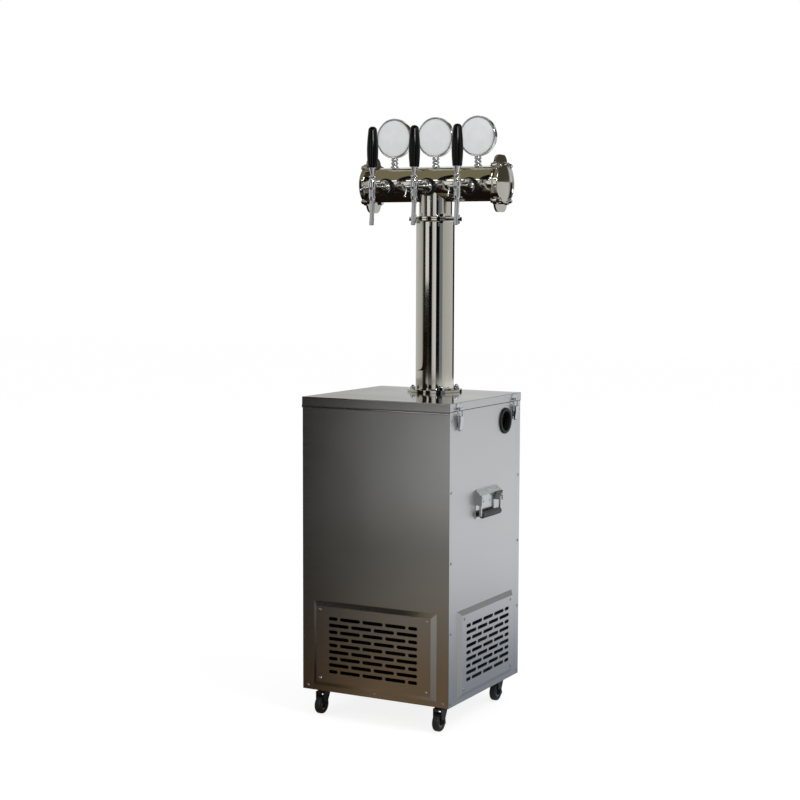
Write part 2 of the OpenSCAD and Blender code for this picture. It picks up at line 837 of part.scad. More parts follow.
module hose_port() {
    tail = sheet_t + port_nut_h;
    color("black") at_side(1) translate([port_y, z_lid - port_drop, 0]) difference() {
        union() {
            cylinder(r = port_flange_r, h = port_flange_t - port_bevel);
            translate([0, 0, port_flange_t - port_bevel])
                cylinder(r1 = port_flange_r, r2 = port_flange_r - port_bevel, h = port_bevel);
            translate([0, 0, -tail]) cylinder(r = port_r + port_wall, h = tail + port_flange_t - port_bevel);
            translate([0, 0, -tail]) cylinder(r = port_r + port_nut_w, h = port_nut_h);
        }
        translate([0, 0, -tail - cut]) cylinder(r = port_r, h = tail + port_flange_t + 2 * cut);
    }
}

module cable_gland() {
    tail = sheet_t + gland_tail;
    color("black") translate([gland_x, half_d, gland_z]) rotate([-90, 0, 0]) difference() {
        union() {
            cylinder(r = gland_hex_r, h = gland_hex_h, $fn = 6);
            translate([0, 0, gland_hex_h]) cylinder(r1 = gland_cap_r, r2 = gland_cap_top_r, h = gland_cap_h);
            translate([0, 0, -tail]) cylinder(r = gland_r, h = tail + gland_lap);
            translate([0, 0, -sheet_t - gland_nut_h]) cylinder(r = gland_nut_r, h = gland_nut_h, $fn = 6);
        }
        translate([0, 0, -tail - cut])
            cylinder(r = gland_bore_r, h = tail + gland_hex_h + gland_cap_h + gland_lap + cut);
    }
}

// Tower
module flange(r, z, spot_r, t) {
    translate([0, 0, z]) difference() {
        cylinder(r = r, h = t);
        for (a = square_turns) rotate(a) translate([spot_r, 0, -cut])
            cylinder(r = bolt_r + bolt_gap, h = t + 2 * cut);
    }
}

module tower_column() {
    color("silver") translate([0, tower_y, 0]) difference() {
        union() {
            flange(base_flange_r, z_lid, base_bolt_r, base_flange_t);
            flange(collar_flange_r, z_collar - collar_flange_t, collar_bolt_r, collar_flange_t);
            translate([0, 0, z_lid]) cylinder(r = column_r, h = collar_h);
        }
        translate([0, 0, z_lid - cut]) cylinder(r = column_r - tube_wall, h = collar_h + 2 * cut);
    }
}

// Flange at a tee end: a disc with a tapered ear above and below
module ear() {
    shoulder = ear_reach - ear_round;
    polygon([
        [-ear_foot / 2, end_disc_r / 2], [ear_foot / 2, end_disc_r / 2], [ear_top / 2, shoulder],
        [ear_top / 2 - ear_round, ear_reach], [ear_round - ear_top / 2, ear_reach], [-ear_top / 2, shoulder],
    ]);
    for (s = [-1, 1]) translate([s * (ear_top / 2 - ear_round), shoulder]) circle(r = ear_round);
}

module end_flange() {
    linear_extrude(end_flange_t) difference() {
        union() {
            circle(r = end_disc_r);
            for (a = [0, 180]) rotate(a) ear();
            for (b = end_bolts) translate(b) circle(r = lug_r);
        }
        for (b = end_bolts) translate(b) circle(r = bolt_r + bolt_gap);
    }
}

// Frame of a tee end: X to the back, Y up, Z outwards from the flange's inner face
module at_tee_end(side) {
    translate([0, tower_y, z_tee]) mirror([side < 0 ? 1 : 0, 0, 0])
        translate([tee_half - end_flange_t / 2, 0, 0]) rotate([90, 0, 90]) children();
}

module tower_tee() {
    color("silver") difference() {
        union() {
            translate([0, tower_y, 0]) flange(collar_flange_r, z_collar, collar_bolt_r, collar_flange_t);
            translate([0, tower_y, z_collar]) cylinder(r = stub_r, h = z_tee - z_collar);
            translate([-tee_half, tower_y, z_tee]) rotate([0, 90, 0]) cylinder(r = tee_r, h = 2 * tee_half);
            for (side = [-1, 1]) at_tee_end(side) end_flange();
        }
        translate([0, tower_y, z_collar - cut]) cylinder(r = stub_r - tube_wall, h = z_tee - z_collar + cut);
        translate([-tee_half - end_flange_t, tower_y, z_tee]) rotate([0, 90, 0])
            cylinder(r = tee_r - tube_wall, h = 2 * (tee_half + end_flange_t));
        for (x = tap_x) translate([x, tower_y, z_tee + shank_w]) rotate([90, 0, 0])
            cylinder(r = shank_r + screw_gap, h = tee_r + 8);
    }
}

module tee_end_caps() {
    color("silver") for (side = [-1, 1]) at_tee_end(side) translate([0, 0, end_flange_t]) difference() {
        union() {
            cylinder(r = cap_r, h = cap_t - 3);
            translate([0, 0, cap_t - 3]) cylinder(r1 = cap_r, r2 = cap_r - 3, h = 3);
            translate([0, 0, cap_t]) cylinder(r1 = cap_face_r, r2 = cap_face_r - 14, h = 2);
            for (b = end_bolts) translate(b) cylinder(r = lug_r, h = lug_t);
        }
        for (b = end_bolts) {
            translate([b.x, b.y, -cut]) cylinder(r = bolt_r + bolt_gap, h = lug_t + 2 * cut);
            translate([b.x, b.y, lug_t]) cylinder(r = nut_r + 0.8, h = cap_t);
        }
    }
}

// Bolt along Z through a stack that starts at Z = 0: hexagon head below, nut above
module bolt(stack, tip, dome) {
    translate([0, 0, -nut_h]) cylinder(r = nut_r, h = nut_h, $fn = 6);
    translate([0, 0, -1]) cylinder(r = bolt_r, h = stack + tip + 1);
    translate([0, 0, stack]) cylinder(r = nut_r, h = nut_h, $fn = 6);
    if (dome) translate([0, 0, stack + nut_h]) intersection() {
        sphere(r = nut_dome_r);
        cylinder(r = nut_r, h = nut_r);
    }
}

module tower_bolts() {
    tip = nut_h + bolt_tip;
    color("gainsboro") {
        base_bolt_spots() translate([0, 0, z_panel_top]) bolt(sheet_t + base_flange_t, nut_h, true);
        translate([0, tower_y, z_collar - collar_flange_t]) for (a = square_turns) rotate(a)
            translate([collar_bolt_r, 0, 0]) bolt(2 * collar_flange_t, tip, false);
        for (side = [-1, 1]) at_tee_end(side) for (b = end_bolts)
            translate(b) bolt(end_flange_t + lug_t, tip, true);
    }
}

// Taps: each is placed on the tee's axis, with its shank running forwards
module at_tap(k) {
    translate([tap_x[k], tower_y, z_tee]) children();
}

module tap_gaskets() {
    color("black") for (k = [0 : 2]) at_tap(k) difference() {
        translate([0, 0, shank_w]) rotate([90, 0, 0]) cylinder(r = gasket_r, h = gasket_front);
        translate([0, cut, shank_w]) rotate([90, 0, 0])
            cylinder(r = shank_r + screw_gap, h = gasket_front + 2 * cut);
        rotate([0, 90, 0]) cylinder(r = tee_r + shaft_gap, h = 4 * gasket_r, center = true);
        translate([-tap_x[k], 0, -tee_h]) cylinder(r = stub_r + shaft_gap, h = tee_h);
    }
}

// Frame of a spout: origin at its knuckle, Z up along the leaning tube
module at_spout() {
    translate([0, -tap_reach, spout_w]) rotate([-spout_tilt, 0, 0]) children();
}

module tap_body() {
    nut_front = tee_r - tube_wall - 6;
    difference() {
        union() {
            translate([0, 0, shank_w]) rotate([90, 0, 0]) rotate_extrude() polygon([
                [0, shank_in], [shank_r, shank_in], [shank_r, nut_front - 8], [13, nut_front - 8],
                [13, nut_front], [shank_r, nut_front], [shank_r, gasket_front], [collar_r - 1, gasket_front],
                [collar_r, gasket_front + 1], [collar_r, gasket_front + 12],
                [collar_r - 4, gasket_front + 18],
                [tap_body_r + 1, gasket_front + 28], [tap_body_r, gasket_front + 34], [tap_body_r, tap_reach],
                [0, tap_reach],
            ]);
            translate([0, -tap_reach, 0]) rotate_extrude() polygon([
                [0, spout_w], [spout_r, spout_w], [8.4, spout_w + 4], [9.4, -32], [9.4, -16],
                [12, -11], [12, 1], [10.2, 4], [10.2, 7], [ball_r + 0.9, pivot_w], [0, pivot_w],
            ]);
            at_spout() sphere(r = knuckle_r);
            at_spout() translate([0, 0, -spout_l]) cylinder(r = spout_r, h = spout_l);
            translate([0, -tap_reach, flow_w]) rotate([0, -90, 0]) cylinder(r = 6.4, h = -flow_boss_x);
        }
        translate([0, -tap_reach, pivot_w]) sphere(r = ball_r + shaft_gap);
        at_spout() translate([0, 0, -spout_l - cut]) cylinder(r = spout_r - 1.2, h = spout_l + cut);
        translate([flow_boss_x - cut, -tap_reach, flow_w]) rotate([0, 90, 0])
            cylinder(r = flow_r + shaft_gap, h = 7 + cut);
    }
}

module tap_bodies() {
    color("gainsboro") for (k = [0 : 2]) at_tap(k) tap_body();
}

module tap_lever(k) {
    color("gainsboro") at_tap(k) translate([0, -tap_reach, 0]) {
        translate([0, 0, pivot_w]) sphere(r = ball_r);
        rotate_extrude() polygon([
            [0, pivot_w], [5.4, pivot_w], [5.4, pivot_w + 4.6], [9.4, pivot_w + 4.6], [9.4, pivot_w + 9],
            [5.2, pivot_w + 10], [5.2, pivot_w + 13], [9.2, ferrule_top], [stud_r, ferrule_top],
            [stud_r, ferrule_top + stud_h], [0, ferrule_top + stud_h],
        ]);
    }
}

// Outline of a tap handle: swells to its widest point, tapers, and ends in a dome
handle_foot_r = 12.4;
handle_neck_r = 11.4;
handle_swell = 0.42;
handle_dome = 10;
function handle_outline() = concat(
    [for (t = [0 : 0.125 : 1])
        [handle_foot_r + (grip_max_r - handle_foot_r) * sin(90 * t),
            ferrule_top + grip_h * handle_swell * t]],
    [for (t = [0.125 : 0.125 : 1])
        [handle_neck_r + (grip_max_r - handle_neck_r) * cos(90 * t),
            ferrule_top + grip_h * handle_swell + (grip_h * (1 - handle_swell) - handle_dome) * t]],
    [for (a = [15 : 15 : 75]) [handle_neck_r * cos(a), ferrule_top + grip_h - handle_dome * (1 - sin(a))]],
    [[0, ferrule_top + grip_h]]
);

module tap_handle(k) {
    bore = stud_r + shaft_gap;
    floor_h = ferrule_top + stud_h + run_gap;
    color("black") at_tap(k) translate([0, -tap_reach, 0]) rotate_extrude() polygon(concat(
        [[0, floor_h], [bore, floor_h], [bore, ferrule_top]], handle_outline()));
}

module flow_lever(k) {
    inner = flow_boss_x + 7 - run_gap;
    color("gainsboro") at_tap(k) translate([0, -tap_reach, flow_w]) {
        translate([inner, 0, 0]) rotate([0, -90, 0]) cylinder(r = flow_r, h = inner - flow_boss_x + 4);
        translate([flow_boss_x - run_gap, 0, 0]) rotate([0, -90, 0]) cylinder(r = 4.6, h = 7);
        translate([flow_boss_x - run_gap - 3.5, 0, 0]) rotate([180 - flow_rest[k], 0, 0]) {
            cylinder(r1 = 2.6, r2 = 2, h = flow_arm);
            translate([0, 0, flow_arm]) sphere(r = 3.5);
        }
    }
}

module medallion_frames() {
    top = medallion_h - medallion_r;
    foot = tee_r - 4;
    step = (top - tee_r) / 6;
    color("gainsboro") for (k = [0 : 2]) at_tap(k) difference() {
        union() {
            rotate_extrude() polygon([
                [0, foot], [stem_foot_r, foot], [stem_foot_r, tee_r + step],
                [stem_r, tee_r + 1.4 * step], [stem_r, tee_r + 2 * step],
                [stem_ring_r, tee_r + 2.3 * step], [stem_ring_r, tee_r + 3.3 * step],
                [stem_r, tee_r + 3.6 * step], [stem_r, tee_r + 4.2 * step],
                [stem_ring_r, tee_r + 4.5 * step], [stem_ring_r, tee_r + 5.5 * step],
                [stem_top_r, top], [stem_top_r, top + 4], [0, top + 4],
            ]);
            translate([0, medallion_d / 2, medallion_h]) rotate([90, 0, 0])
                cylinder(r = medallion_r, h = medallion_d);
        }
        rotate([0, 90, 0]) cylinder(r = tee_r + shaft_gap, h = 4 * gasket_r, center = true);
        translate([0, -medallion_d / 2 + disc_set + disc_t, medallion_h]) rotate([90, 0, 0])
            cylinder(r = disc_r + run_gap, h = medallion_d);
        translate([0, medallion_d + medallion_d / 2 - disc_set, medallion_h]) rotate([90, 0, 0])
            cylinder(r = disc_r + run_gap, h = medallion_d);
    }
}

module medallion_discs() {
    color("whitesmoke") for (k = [0 : 2]) at_tap(k)
        translate([0, -medallion_d / 2 + disc_set + disc_t, medallion_h]) rotate([90, 0, 0])
            cylinder(r = disc_r, h = disc_t);
}

// Latches: X along the side, Y up from the seam, Z outwards from the side panel
module at_latch(side, end) {
    at_side(side) translate([end * latch_y, z_seam, 0]) children();
}

// A plate cut to an outline of [out, up] points, lying between two places along the side
module profile_plate(points, from, to) {
    translate([from, 0, 0]) rotate([0, -90, 180]) mirror([0, 1, 0]) linear_extrude(to - from) polygon(points);
}

module latch_rod(r, from, to, out, up) {
    translate([from, up, out]) rotate([0, 90, 0]) cylinder(r = r, h = to - from);
}

module latch_base() {
    pin_end = lever_ear_y + lever_ear_t / 2 + 0.5;
    translate([-10.5, lever_up - 24, 0]) cube([21, 32, catch_t]);
    for (s = [-1, 1]) mirror([s < 0 ? 1 : 0, 0, 0]) {
        translate([latch_ear_y - latch_ear_t / 2, lever_up - 5, catch_t / 2])
            cube([latch_ear_t, 5 + ear_pin_r, lever_out - catch_t / 2]);
        latch_rod(ear_pin_r, latch_ear_y - latch_ear_t / 2, latch_ear_y + latch_ear_t / 2,
            lever_out, lever_up);
        latch_rod(latch_pin_r, latch_ear_y - latch_ear_t / 2, pin_end, lever_out, lever_up);
    }
}

module latch_catch() {
    ledge_up = bar_up - bar_r - run_gap - ledge_t;
    translate([-catch_w / 2, 1.5, catch_in]) cube([catch_w, side_lip_h - 3.5, catch_t]);
    translate([-ledge_w / 2, ledge_up, catch_in]) cube([ledge_w, ledge_t, ledge_out - catch_in]);
    translate([-ledge_w / 2, ledge_up, ledge_out - ledge_t]) cube([ledge_w, ledge_t + ledge_lip, ledge_t]);
    for (s = [-1, 1]) translate([s * 10, side_lip_h - 4, catch_in + catch_t / 2])
        cylinder(r = 1.9, h = catch_t);
}

module latch_plates() {
    color("gainsboro") for (side = [-1, 1], end = [-1, 1]) at_latch(side, end) {
        latch_base();
        latch_catch();
    }
}

module latch_lever(side, end) {
    ear = [
        [lever_face + lever_t / 2, lever_up + 3], [lever_out - 3, lever_up + 3],
        [bail_out - 2.6, bail_up - 2], [lever_face + lever_t / 2, bail_up - 6],
    ];
    head = lever_ear_y + lever_ear_t / 2;
    tip_up = lever_up - 34;
    color("silver") at_latch(side, end) difference() {
        union() {
            for (s = [-1, 1])
                profile_plate(ear, s * lever_ear_y - lever_ear_t / 2, s * lever_ear_y + lever_ear_t / 2);
            translate([0, 0, lever_face]) linear_extrude(lever_t) difference() {
                polygon([
                    [-head, lever_up + 3], [head, lever_up + 3], [head, bail_up - 3], [13, bail_up - 4.5],
                    [5, tip_up], [-5, tip_up], [-13, bail_up - 4.5], [-head, bail_up - 3],
                ]);
                translate([0, tip_up + 6]) circle(r = 2.2);
            }
            translate([-5, tip_up, lever_face]) cube([10, lever_t, 6]);
        }
        latch_rod(latch_pin_r + shaft_gap, -head - cut, head + cut, lever_out, lever_up);
        latch_rod(bail_pin_r + shaft_gap, -head - cut, head + cut, bail_out, bail_up);
    }
}

module latch_bail(side, end) {
    reach = [bar_out - bail_out, bar_up - bail_up];
    lean = atan2(reach.x, reach.y);
    color("gainsboro") at_latch(side, end) {
        for (s = [-1, 1]) {
            translate([s * bail_y, bail_up, bail_out]) rotate([-90 + lean, 0, 0])
                cylinder(r = bar_r, h = norm(reach));
            translate([s * bail_y, bail_up, bail_out]) sphere(r = bar_r);
            translate([s * bail_y, bar_up, bar_out]) sphere(r = bar_r);
            mirror([s < 0 ? 1 : 0, 0, 0])
                latch_rod(bail_pin_r, lever_ear_y - lever_ear_t / 2 + 0.2, bail_y, bail_out, bail_up);
        }
        latch_rod(bar_r, -bail_y, bail_y, bar_out, bar_up);
    }
}

// Carry handles: X along the side, Y up from the pivot, Z outwards from the side panel
module at_handle(side) {
    at_side(side) translate([0, handle_z, 0]) children();
}

module handle_plate() {
    corner = 8;
    hood = plate_top - hood_h;
    translate([-handle_w / 2, -plate_low, 0]) cube([handle_w, plate_low + plate_top - corner, plate_t]);
    translate([-handle_w / 2 + corner, plate_top - corner - 1, 0])
        cube([handle_w - 2 * corner, corner + 1, plate_t]);
    for (s = [-1, 1]) translate([s * (handle_w / 2 - corner), plate_top - corner, 0])
        cylinder(r = corner, h = plate_t);
    translate([-handle_w / 2, 0, 0]) rotate([90, 0, 90]) linear_extrude(handle_w) polygon([
        [hood, plate_t / 2], [hood, hood_out], [hood + 2, hood_out + 1], [hood + 6, hood_out],
        [plate_top - 2, plate_t + 2], [plate_top - 2, plate_t / 2],
    ]);
    for (s = [-1, 1]) mirror([s < 0 ? 1 : 0, 0, 0]) {
        translate([handle_w / 2 - cheek_t, -16, plate_t / 2])
            cube([cheek_t, 18 + hood, handle_out + 6 - plate_t / 2]);
        translate([handle_w / 2 - cheek_t - run_gap - eye_w + 0.3, 0, handle_out]) rotate([0, 90, 0])
            cylinder(r = handle_pin_r, h = eye_w + run_gap + cheek_t / 2);
    }
    slope = atan2(hood_h - 8, hood_out - plate_t - 2);
    for (x = [-0.36, -0.12, 0.12, 0.36])
        translate([x * handle_w, hood + (hood_h + 4) / 2, (hood_out + plate_t + 2) / 2])
            rotate([slope - 90, 0, 0]) translate([0, 0, -4]) cylinder(r = 2.4, h = 5);
    for (x = [-0.14, 0.14]) translate([x * handle_w, -12, plate_t / 2]) cylinder(r = 2.4, h = plate_t);
}

module handle_plates() {
    color("gainsboro") for (side = [-1, 1]) at_handle(side) handle_plate();
}

module carry_handle(side) {
    color("silver") at_handle(side) translate([0, 0, handle_out]) difference() {
        union() {
            for (s = [-1, 1]) translate([s * arm_y, 0, 0]) {
                rotate([0, 90, 0]) cylinder(r = eye_r, h = eye_w, center = true);
                rotate([90, 0, 0]) cylinder(r = arm_r, h = handle_drop);
                translate([0, -handle_drop, 0]) sphere(r = arm_r);
            }
            translate([-arm_y, -handle_drop, 0]) rotate([0, 90, 0]) cylinder(r = arm_r, h = 2 * arm_y);
        }
        for (s = [-1, 1]) translate([s * arm_y, 0, 0]) rotate([0, 90, 0])
            cylinder(r = handle_pin_r + shaft_gap, h = eye_w + 2 * cut, center = true);
    }
}

module carry_grip(side) {
    bore = arm_r + shaft_gap;
    rib = grip_len / grip_ribs;
    groove = 0.9;
    color("black") at_handle(side) translate([-grip_len / 2, -handle_drop, handle_out]) rotate([0, 90, 0])
        rotate_extrude() polygon(concat(
            [[bore, grip_len], [bore, 0]],
            [for (i = [0 : grip_ribs - 1],
                p = [[grip_r - groove, 0], [grip_r, 0.3], [grip_r, 0.7], [grip_r - groove, 1]])
                [p.x, (i + p.y) * rib]]
        ));
}

// Casters: Z up from the floor, the axle ahead of the swivel axis
module at_caster(front, side) {
    translate([side * caster_x, -front * caster_y, 0]) children();
}

module caster_plates() {
    color("dimgray") for (front = [-1, 1], side = [-1, 1]) at_caster(front, side) {
        translate([-caster_plate / 2, -caster_plate / 2, z_under - caster_plate_t])
            cube([caster_plate, caster_plate, caster_plate_t]);
        translate([0, 0, z_crown + run_gap]) cylinder(r = race_r, h = race_h);
        translate([0, 0, z_crown - crown_t - run_gap]) cylinder(r = king_r, h = crown_t + 2 * run_gap + 1);
        translate([0, 0, z_crown - crown_t - run_gap - king_head_h])
            cylinder(r = king_head_r, h = king_head_h);
    }
}

module caster_fork(front, side) {
    out = leg_in + leg_t;
    color("black") at_caster(front, side) {
        translate([0, 0, z_crown - crown_t]) linear_extrude(crown_t) difference() {
            union() {
                circle(r = race_r);
                translate([-out, -caster_trail - 8]) square([2 * out, caster_trail + 16]);
            }
            circle(r = king_r + shaft_gap);
        }
        for (s = [-1, 1]) translate([s * (leg_in + leg_t / 2) - leg_t / 2, 0, 0]) rotate([90, 0, 90])
            linear_extrude(leg_t) {
                polygon([
                    [8, z_crown], [-caster_trail - 8, z_crown],
                    [-caster_trail - 8, wheel_r], [-caster_trail + 8, wheel_r],
                    [8, z_crown - crown_t - 4],
                ]);
                translate([-caster_trail, wheel_r]) circle(r = 8);
            }
        translate([-out - 2, -caster_trail, wheel_r]) rotate([0, 90, 0])
            cylinder(r = axle_r, h = 2 * out + 6);
        translate([out, -caster_trail, wheel_r]) rotate([0, 90, 0]) cylinder(r = 6, h = 4.5, $fn = 6);
        translate([-out - 2.5, -caster_trail, wheel_r]) rotate([0, 90, 0]) cylinder(r = 5.5, h = 2.5);
    }
}

module caster_wheel(front, side) {
    w = wheel_w / 2;
    hub = leg_in - 0.4;
    bore = axle_r + shaft_gap;
    color("black") at_caster(front, side) translate([0, -caster_trail, wheel_r]) rotate([0, 90, 0])
        rotate_extrude() polygon([
            [bore, -hub], [hub_r, -hub], [hub_r, -w + 2], [hub_r + 5, -w + 2], [hub_r + 6, -w],
            [wheel_r - 3, -w], [wheel_r, -w + 4], [wheel_r, w - 4], [wheel_r - 3, w],
            [hub_r + 6, w], [hub_r + 5, w - 2], [hub_r, w - 2],
            [hub_r, hub], [bore, hub],
        ]);
}

base_pan();
front_panel();
side_panels();
rear_panel();
vent_covers();
cabinet_screws();
lid();
foam_insulation();
tank_shelf();
water_tank();
evaporator_coil();
beer_lines();
agitator_motor();
agitator_shaft();
compressor();
condenser();
fan_motor();
fan_blade();
hose_port();
cable_gland();
tower_column();
tower_tee();
tee_end_caps();
tower_bolts();
tap_gaskets();
tap_bodies();
tap_lever(0);  // tap_lever_left
tap_lever(1);  // tap_lever_middle
tap_lever(2);  // tap_lever_right
tap_handle(0);  // tap_handle_left
tap_handle(1);  // tap_handle_middle
tap_handle(2);  // tap_handle_right
flow_lever(0);  // flow_lever_left
flow_lever(1);  // flow_lever_middle
flow_lever(2);  // flow_lever_right
medallion_frames();
medallion_discs();
latch_plates();
latch_lever(1, -1);  // latch_lever_right_front
latch_lever(1, 1);  // latch_lever_right_rear
latch_lever(-1, -1);  // latch_lever_left_front
latch_lever(-1, 1);  // latch_lever_left_rear
latch_bail(1, -1);  // latch_bail_right_front
latch_bail(1, 1);  // latch_bail_right_rear
latch_bail(-1, -1);  // latch_bail_left_front
latch_bail(-1, 1);  // latch_bail_left_rear
handle_plates();
carry_handle(1);  // carry_handle_right
carry_handle(-1);  // carry_handle_left
carry_grip(1);  // carry_grip_right
carry_grip(-1);  // carry_grip_left
caster_plates();
caster_fork(1, 1);  // caster_fork_front_right
caster_fork(1, -1);  // caster_fork_front_left
caster_fork(-1, 1);  // caster_fork_rear_right
caster_fork(-1, -1);  // caster_fork_rear_left
caster_wheel(1, 1);  // caster_wheel_front_right
caster_wheel(1, -1);  // caster_wheel_front_left
caster_wheel(-1, 1);  // caster_wheel_rear_right
caster_wheel(-1, -1);  // caster_wheel_rear_left
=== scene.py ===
"""Looks of the draft beer cooler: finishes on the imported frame, shaped pieces, stage and camera."""

import math

import bpy
from mathutils import Matrix, Vector


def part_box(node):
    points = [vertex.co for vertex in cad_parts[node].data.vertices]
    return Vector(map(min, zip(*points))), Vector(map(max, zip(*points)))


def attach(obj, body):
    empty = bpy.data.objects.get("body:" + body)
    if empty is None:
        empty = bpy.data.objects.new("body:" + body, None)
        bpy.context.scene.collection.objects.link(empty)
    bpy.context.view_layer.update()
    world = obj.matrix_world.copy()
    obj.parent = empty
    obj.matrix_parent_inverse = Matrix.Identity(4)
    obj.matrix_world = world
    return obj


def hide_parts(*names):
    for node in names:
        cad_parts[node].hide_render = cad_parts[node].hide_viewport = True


bl_info = {
    "name": "Draft Beer Cooler",
    "version": (1, 0, 0),
    "blender": (4, 5, 0),
    "location": "View3D > Sidebar > Cooler",
    "description": "Finishes and detailed pieces of a draft beer cooler with a three-tap tower",
    "category": "Object",
}

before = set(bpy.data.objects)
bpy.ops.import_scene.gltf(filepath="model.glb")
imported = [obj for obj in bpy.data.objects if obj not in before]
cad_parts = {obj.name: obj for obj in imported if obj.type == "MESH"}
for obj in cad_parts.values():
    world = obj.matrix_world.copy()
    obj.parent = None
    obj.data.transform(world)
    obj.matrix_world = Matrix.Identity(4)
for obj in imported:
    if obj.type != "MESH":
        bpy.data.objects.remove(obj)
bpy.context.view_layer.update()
MM = 0.001


def centre(node):
    """Middle of a node's box."""
    low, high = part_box(node)
    return (low + high) / 2


# Places worked out from the frame
COLUMN_LOW, COLUMN_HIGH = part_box("tower_column")
TEE_LOW, TEE_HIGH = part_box("tower_tee")
TOWER_X = (COLUMN_LOW.x + COLUMN_HIGH.x) / 2
TOWER_Y = (COLUMN_LOW.y + COLUMN_HIGH.y) / 2
TEE_AXIS = centre("tee_end_caps").z
# Radii of the tee's level tube and its stub, the wall of both and the end flanges' thickness, in mm
TUBE_R, STUB_R, TUBE_WALL, FLANGE_T = 46, 44, 2, 6
# Bolts of the end flanges, back and up from the tee's axis, and the radii of their holes and lugs, in mm
END_BOLTS = [(33 * back, 45 * up) for back in (-1, 1) for up in (-1, 1)]
BOLT_HOLE_R, LUG_R = 4.2, 10
TAPS = ("left", "middle", "right")
SIDES = ("right", "left")
LATCHES = ("right_front", "right_rear", "left_front", "left_rear")
CORNERS = ("front_right", "front_left", "rear_right", "rear_left")
# A face looks along an axis where its normal's part along that axis is more than this
STEEP = 0.7
# Corners of a CAD mesh that are closer than this are one
WELD = 0.01 * MM
# Edges that turn by more than these are rounded, on made pieces and on CAD nodes, or shaded sharp
ROUNDED, NODE_ROUNDED, SHARP = (math.radians(angle) for angle in (30, 50, 35))
# Radius of the round room that the metal mirrors, and the plain tones of its cards
ROOM_R = 3.4
TONES = {
    "black": "#0D0B0B", "umber": "#1C140E", "dark": "#2A2724", "brown": "#463624", "shade": "#4C483E",
    "tan": "#7B654D", "olive": "#857F66", "stone": "#8C8882", "steel": "#7E858D", "silver": "#C0BFBB",
    "pale": "#D2D3D2", "white": "#F2F2F2",
}
# Where each tone begins or ends round a card, in degrees to the right of the front
ROUND_TONES = (
    (-146, "silver"), (-110, "pale"), (-60, "silver"), (-52, "stone"), (-48, "dark"), (-10, "dark"),
    (-8, "black"), (8, "black"), (12, "pale"), (32, "white"), (35, "black"), (54, "black"), (56, "steel"),
    (73, "steel"), (75, "silver"),
)
WALL_TONES = ((-180, "black"), (-168, "black"), (-164, "pale"), (-154, "pale")) + ROUND_TONES + (
    (157, "pale"), (162, "black"), (180, "black"))
HIGH_WALL_TONES = ((-180, "pale"),) + ROUND_TONES + (
    (118, "silver"), (122, "shade"), (158, "shade"), (161, "pale"), (180, "pale"))
LOW_WALL_TONES = (
    (-180, "pale"), (-60, "stone"), (-45, "umber"), (-33, "umber"), (-19, "pale"), (-10, "stone"),
    (20, "stone"), (60, "silver"), (100, "white"), (180, "white"),
)
FLOOR_TONES = (
    (-180, "silver"), (-60, "stone"), (-45, "dark"), (-34, "dark"), (-20, "stone"), (10, "stone"),
    (60, "silver"), (100, "white"), (180, "white"),
)
# Tones of the floor card near the cabinet, darker and browner than farther out: painted shadow of the cabinet
# on the floor, seen only in reflections
FLOOR_SHADOW_TONES = (
    (-180, "stone"), (-130, "dark"), (-60, "umber"), (-36, "brown"), (-17, "tan"), (10, "tan"), (50, "stone"),
    (100, "steel"), (180, "steel"),
)


class CoolerSizes(bpy.types.PropertyGroup):
    """Sizes that shape the turned and folded pieces."""

    sheet_bend: bpy.props.FloatProperty(
        name="Sheet bend", description="Radius of the lid's folded edges", default=1.4 * MM, unit="LENGTH")
    sheet: bpy.props.FloatProperty(
        name="Sheet", description="Thickness of the lid's sheet", default=1.2 * MM, unit="LENGTH")
    side_lip: bpy.props.FloatProperty(
        name="Side lip", description="Depth of the lid's lip at the sides and back", default=20 * MM,
        unit="LENGTH")
    lip_hem: bpy.props.FloatProperty(
        name="Lip hem", description="A quarter of the height of the front lip's rolled hem", default=0.8 * MM,
        unit="LENGTH")
    ear_width: bpy.props.FloatProperty(
        name="Ear width", description="Width of an ear of the tee's end flanges", default=58 * MM,
        unit="LENGTH")
    ear_round: bpy.props.FloatProperty(
        name="Ear corner", description="Corner radius of an ear", default=16 * MM, unit="LENGTH")
    spout_lean: bpy.props.FloatProperty(
        name="Spout lean", description="Forward lean of the spouts", default=math.radians(5), subtype="ANGLE")
    brush_length: bpy.props.FloatProperty(
        name="Brush stroke", description="Length of a stroke in the brushed sheet", default=90 * MM,
        unit="LENGTH")
    brush_width: bpy.props.FloatProperty(
        name="Brush width", description="Width of a stroke, drawn coarser than real so that it shows",
        default=1.1 * MM, unit="LENGTH")


class CoolerColours(bpy.types.PropertyGroup):
    """Colours of the finishes, as sRGB hex values."""

    front_steel: bpy.props.StringProperty(
        name="Front sheet", description="Brushed stainless of the front", default="#BBBBB9")
    lid_steel: bpy.props.StringProperty(
        name="Lid sheet", description="Buffed stainless of the lid's top", default="#9C9C9A")
    side_steel: bpy.props.StringProperty(
        name="Side sheet", description="Satin stainless of the sides, back and base", default="#CBCDD0")
    tower_steel: bpy.props.StringProperty(
        name="Tower steel", description="Polished stainless of the tower", default="#D2CFC6")
    chrome: bpy.props.StringProperty(
        name="Chrome", description="Chrome plate of the taps and medallions", default="#DADBDD")
    handle_black: bpy.props.StringProperty(
        name="Handle black", description="Phenolic of the tap handles", default="#030303")
    # Rubber black also colours the strip under the lid's lip, which is painted shadow of the gap there
    rubber_black: bpy.props.StringProperty(
        name="Rubber black", description="Gaskets, painted shadow strip under the lid and hose port", default="#101011")
    grip_grey: bpy.props.StringProperty(
        name="Grip grey", description="Ribbed rubber of the carry grips", default="#363A3E")
    medallion_white: bpy.props.StringProperty(
        name="Medallion white", description="Plain discs of the medallions", default="#DDDEDF")


def linear(code):
    """Linear RGBA of an sRGB hex colour."""
    parts = [int(code[i:i + 2], 16) / 255 for i in (1, 3, 5)]
    return [c / 12.92 if c <= 0.04045 else ((c + 0.055) / 1.055) ** 2.4 for c in parts] + [1.0]


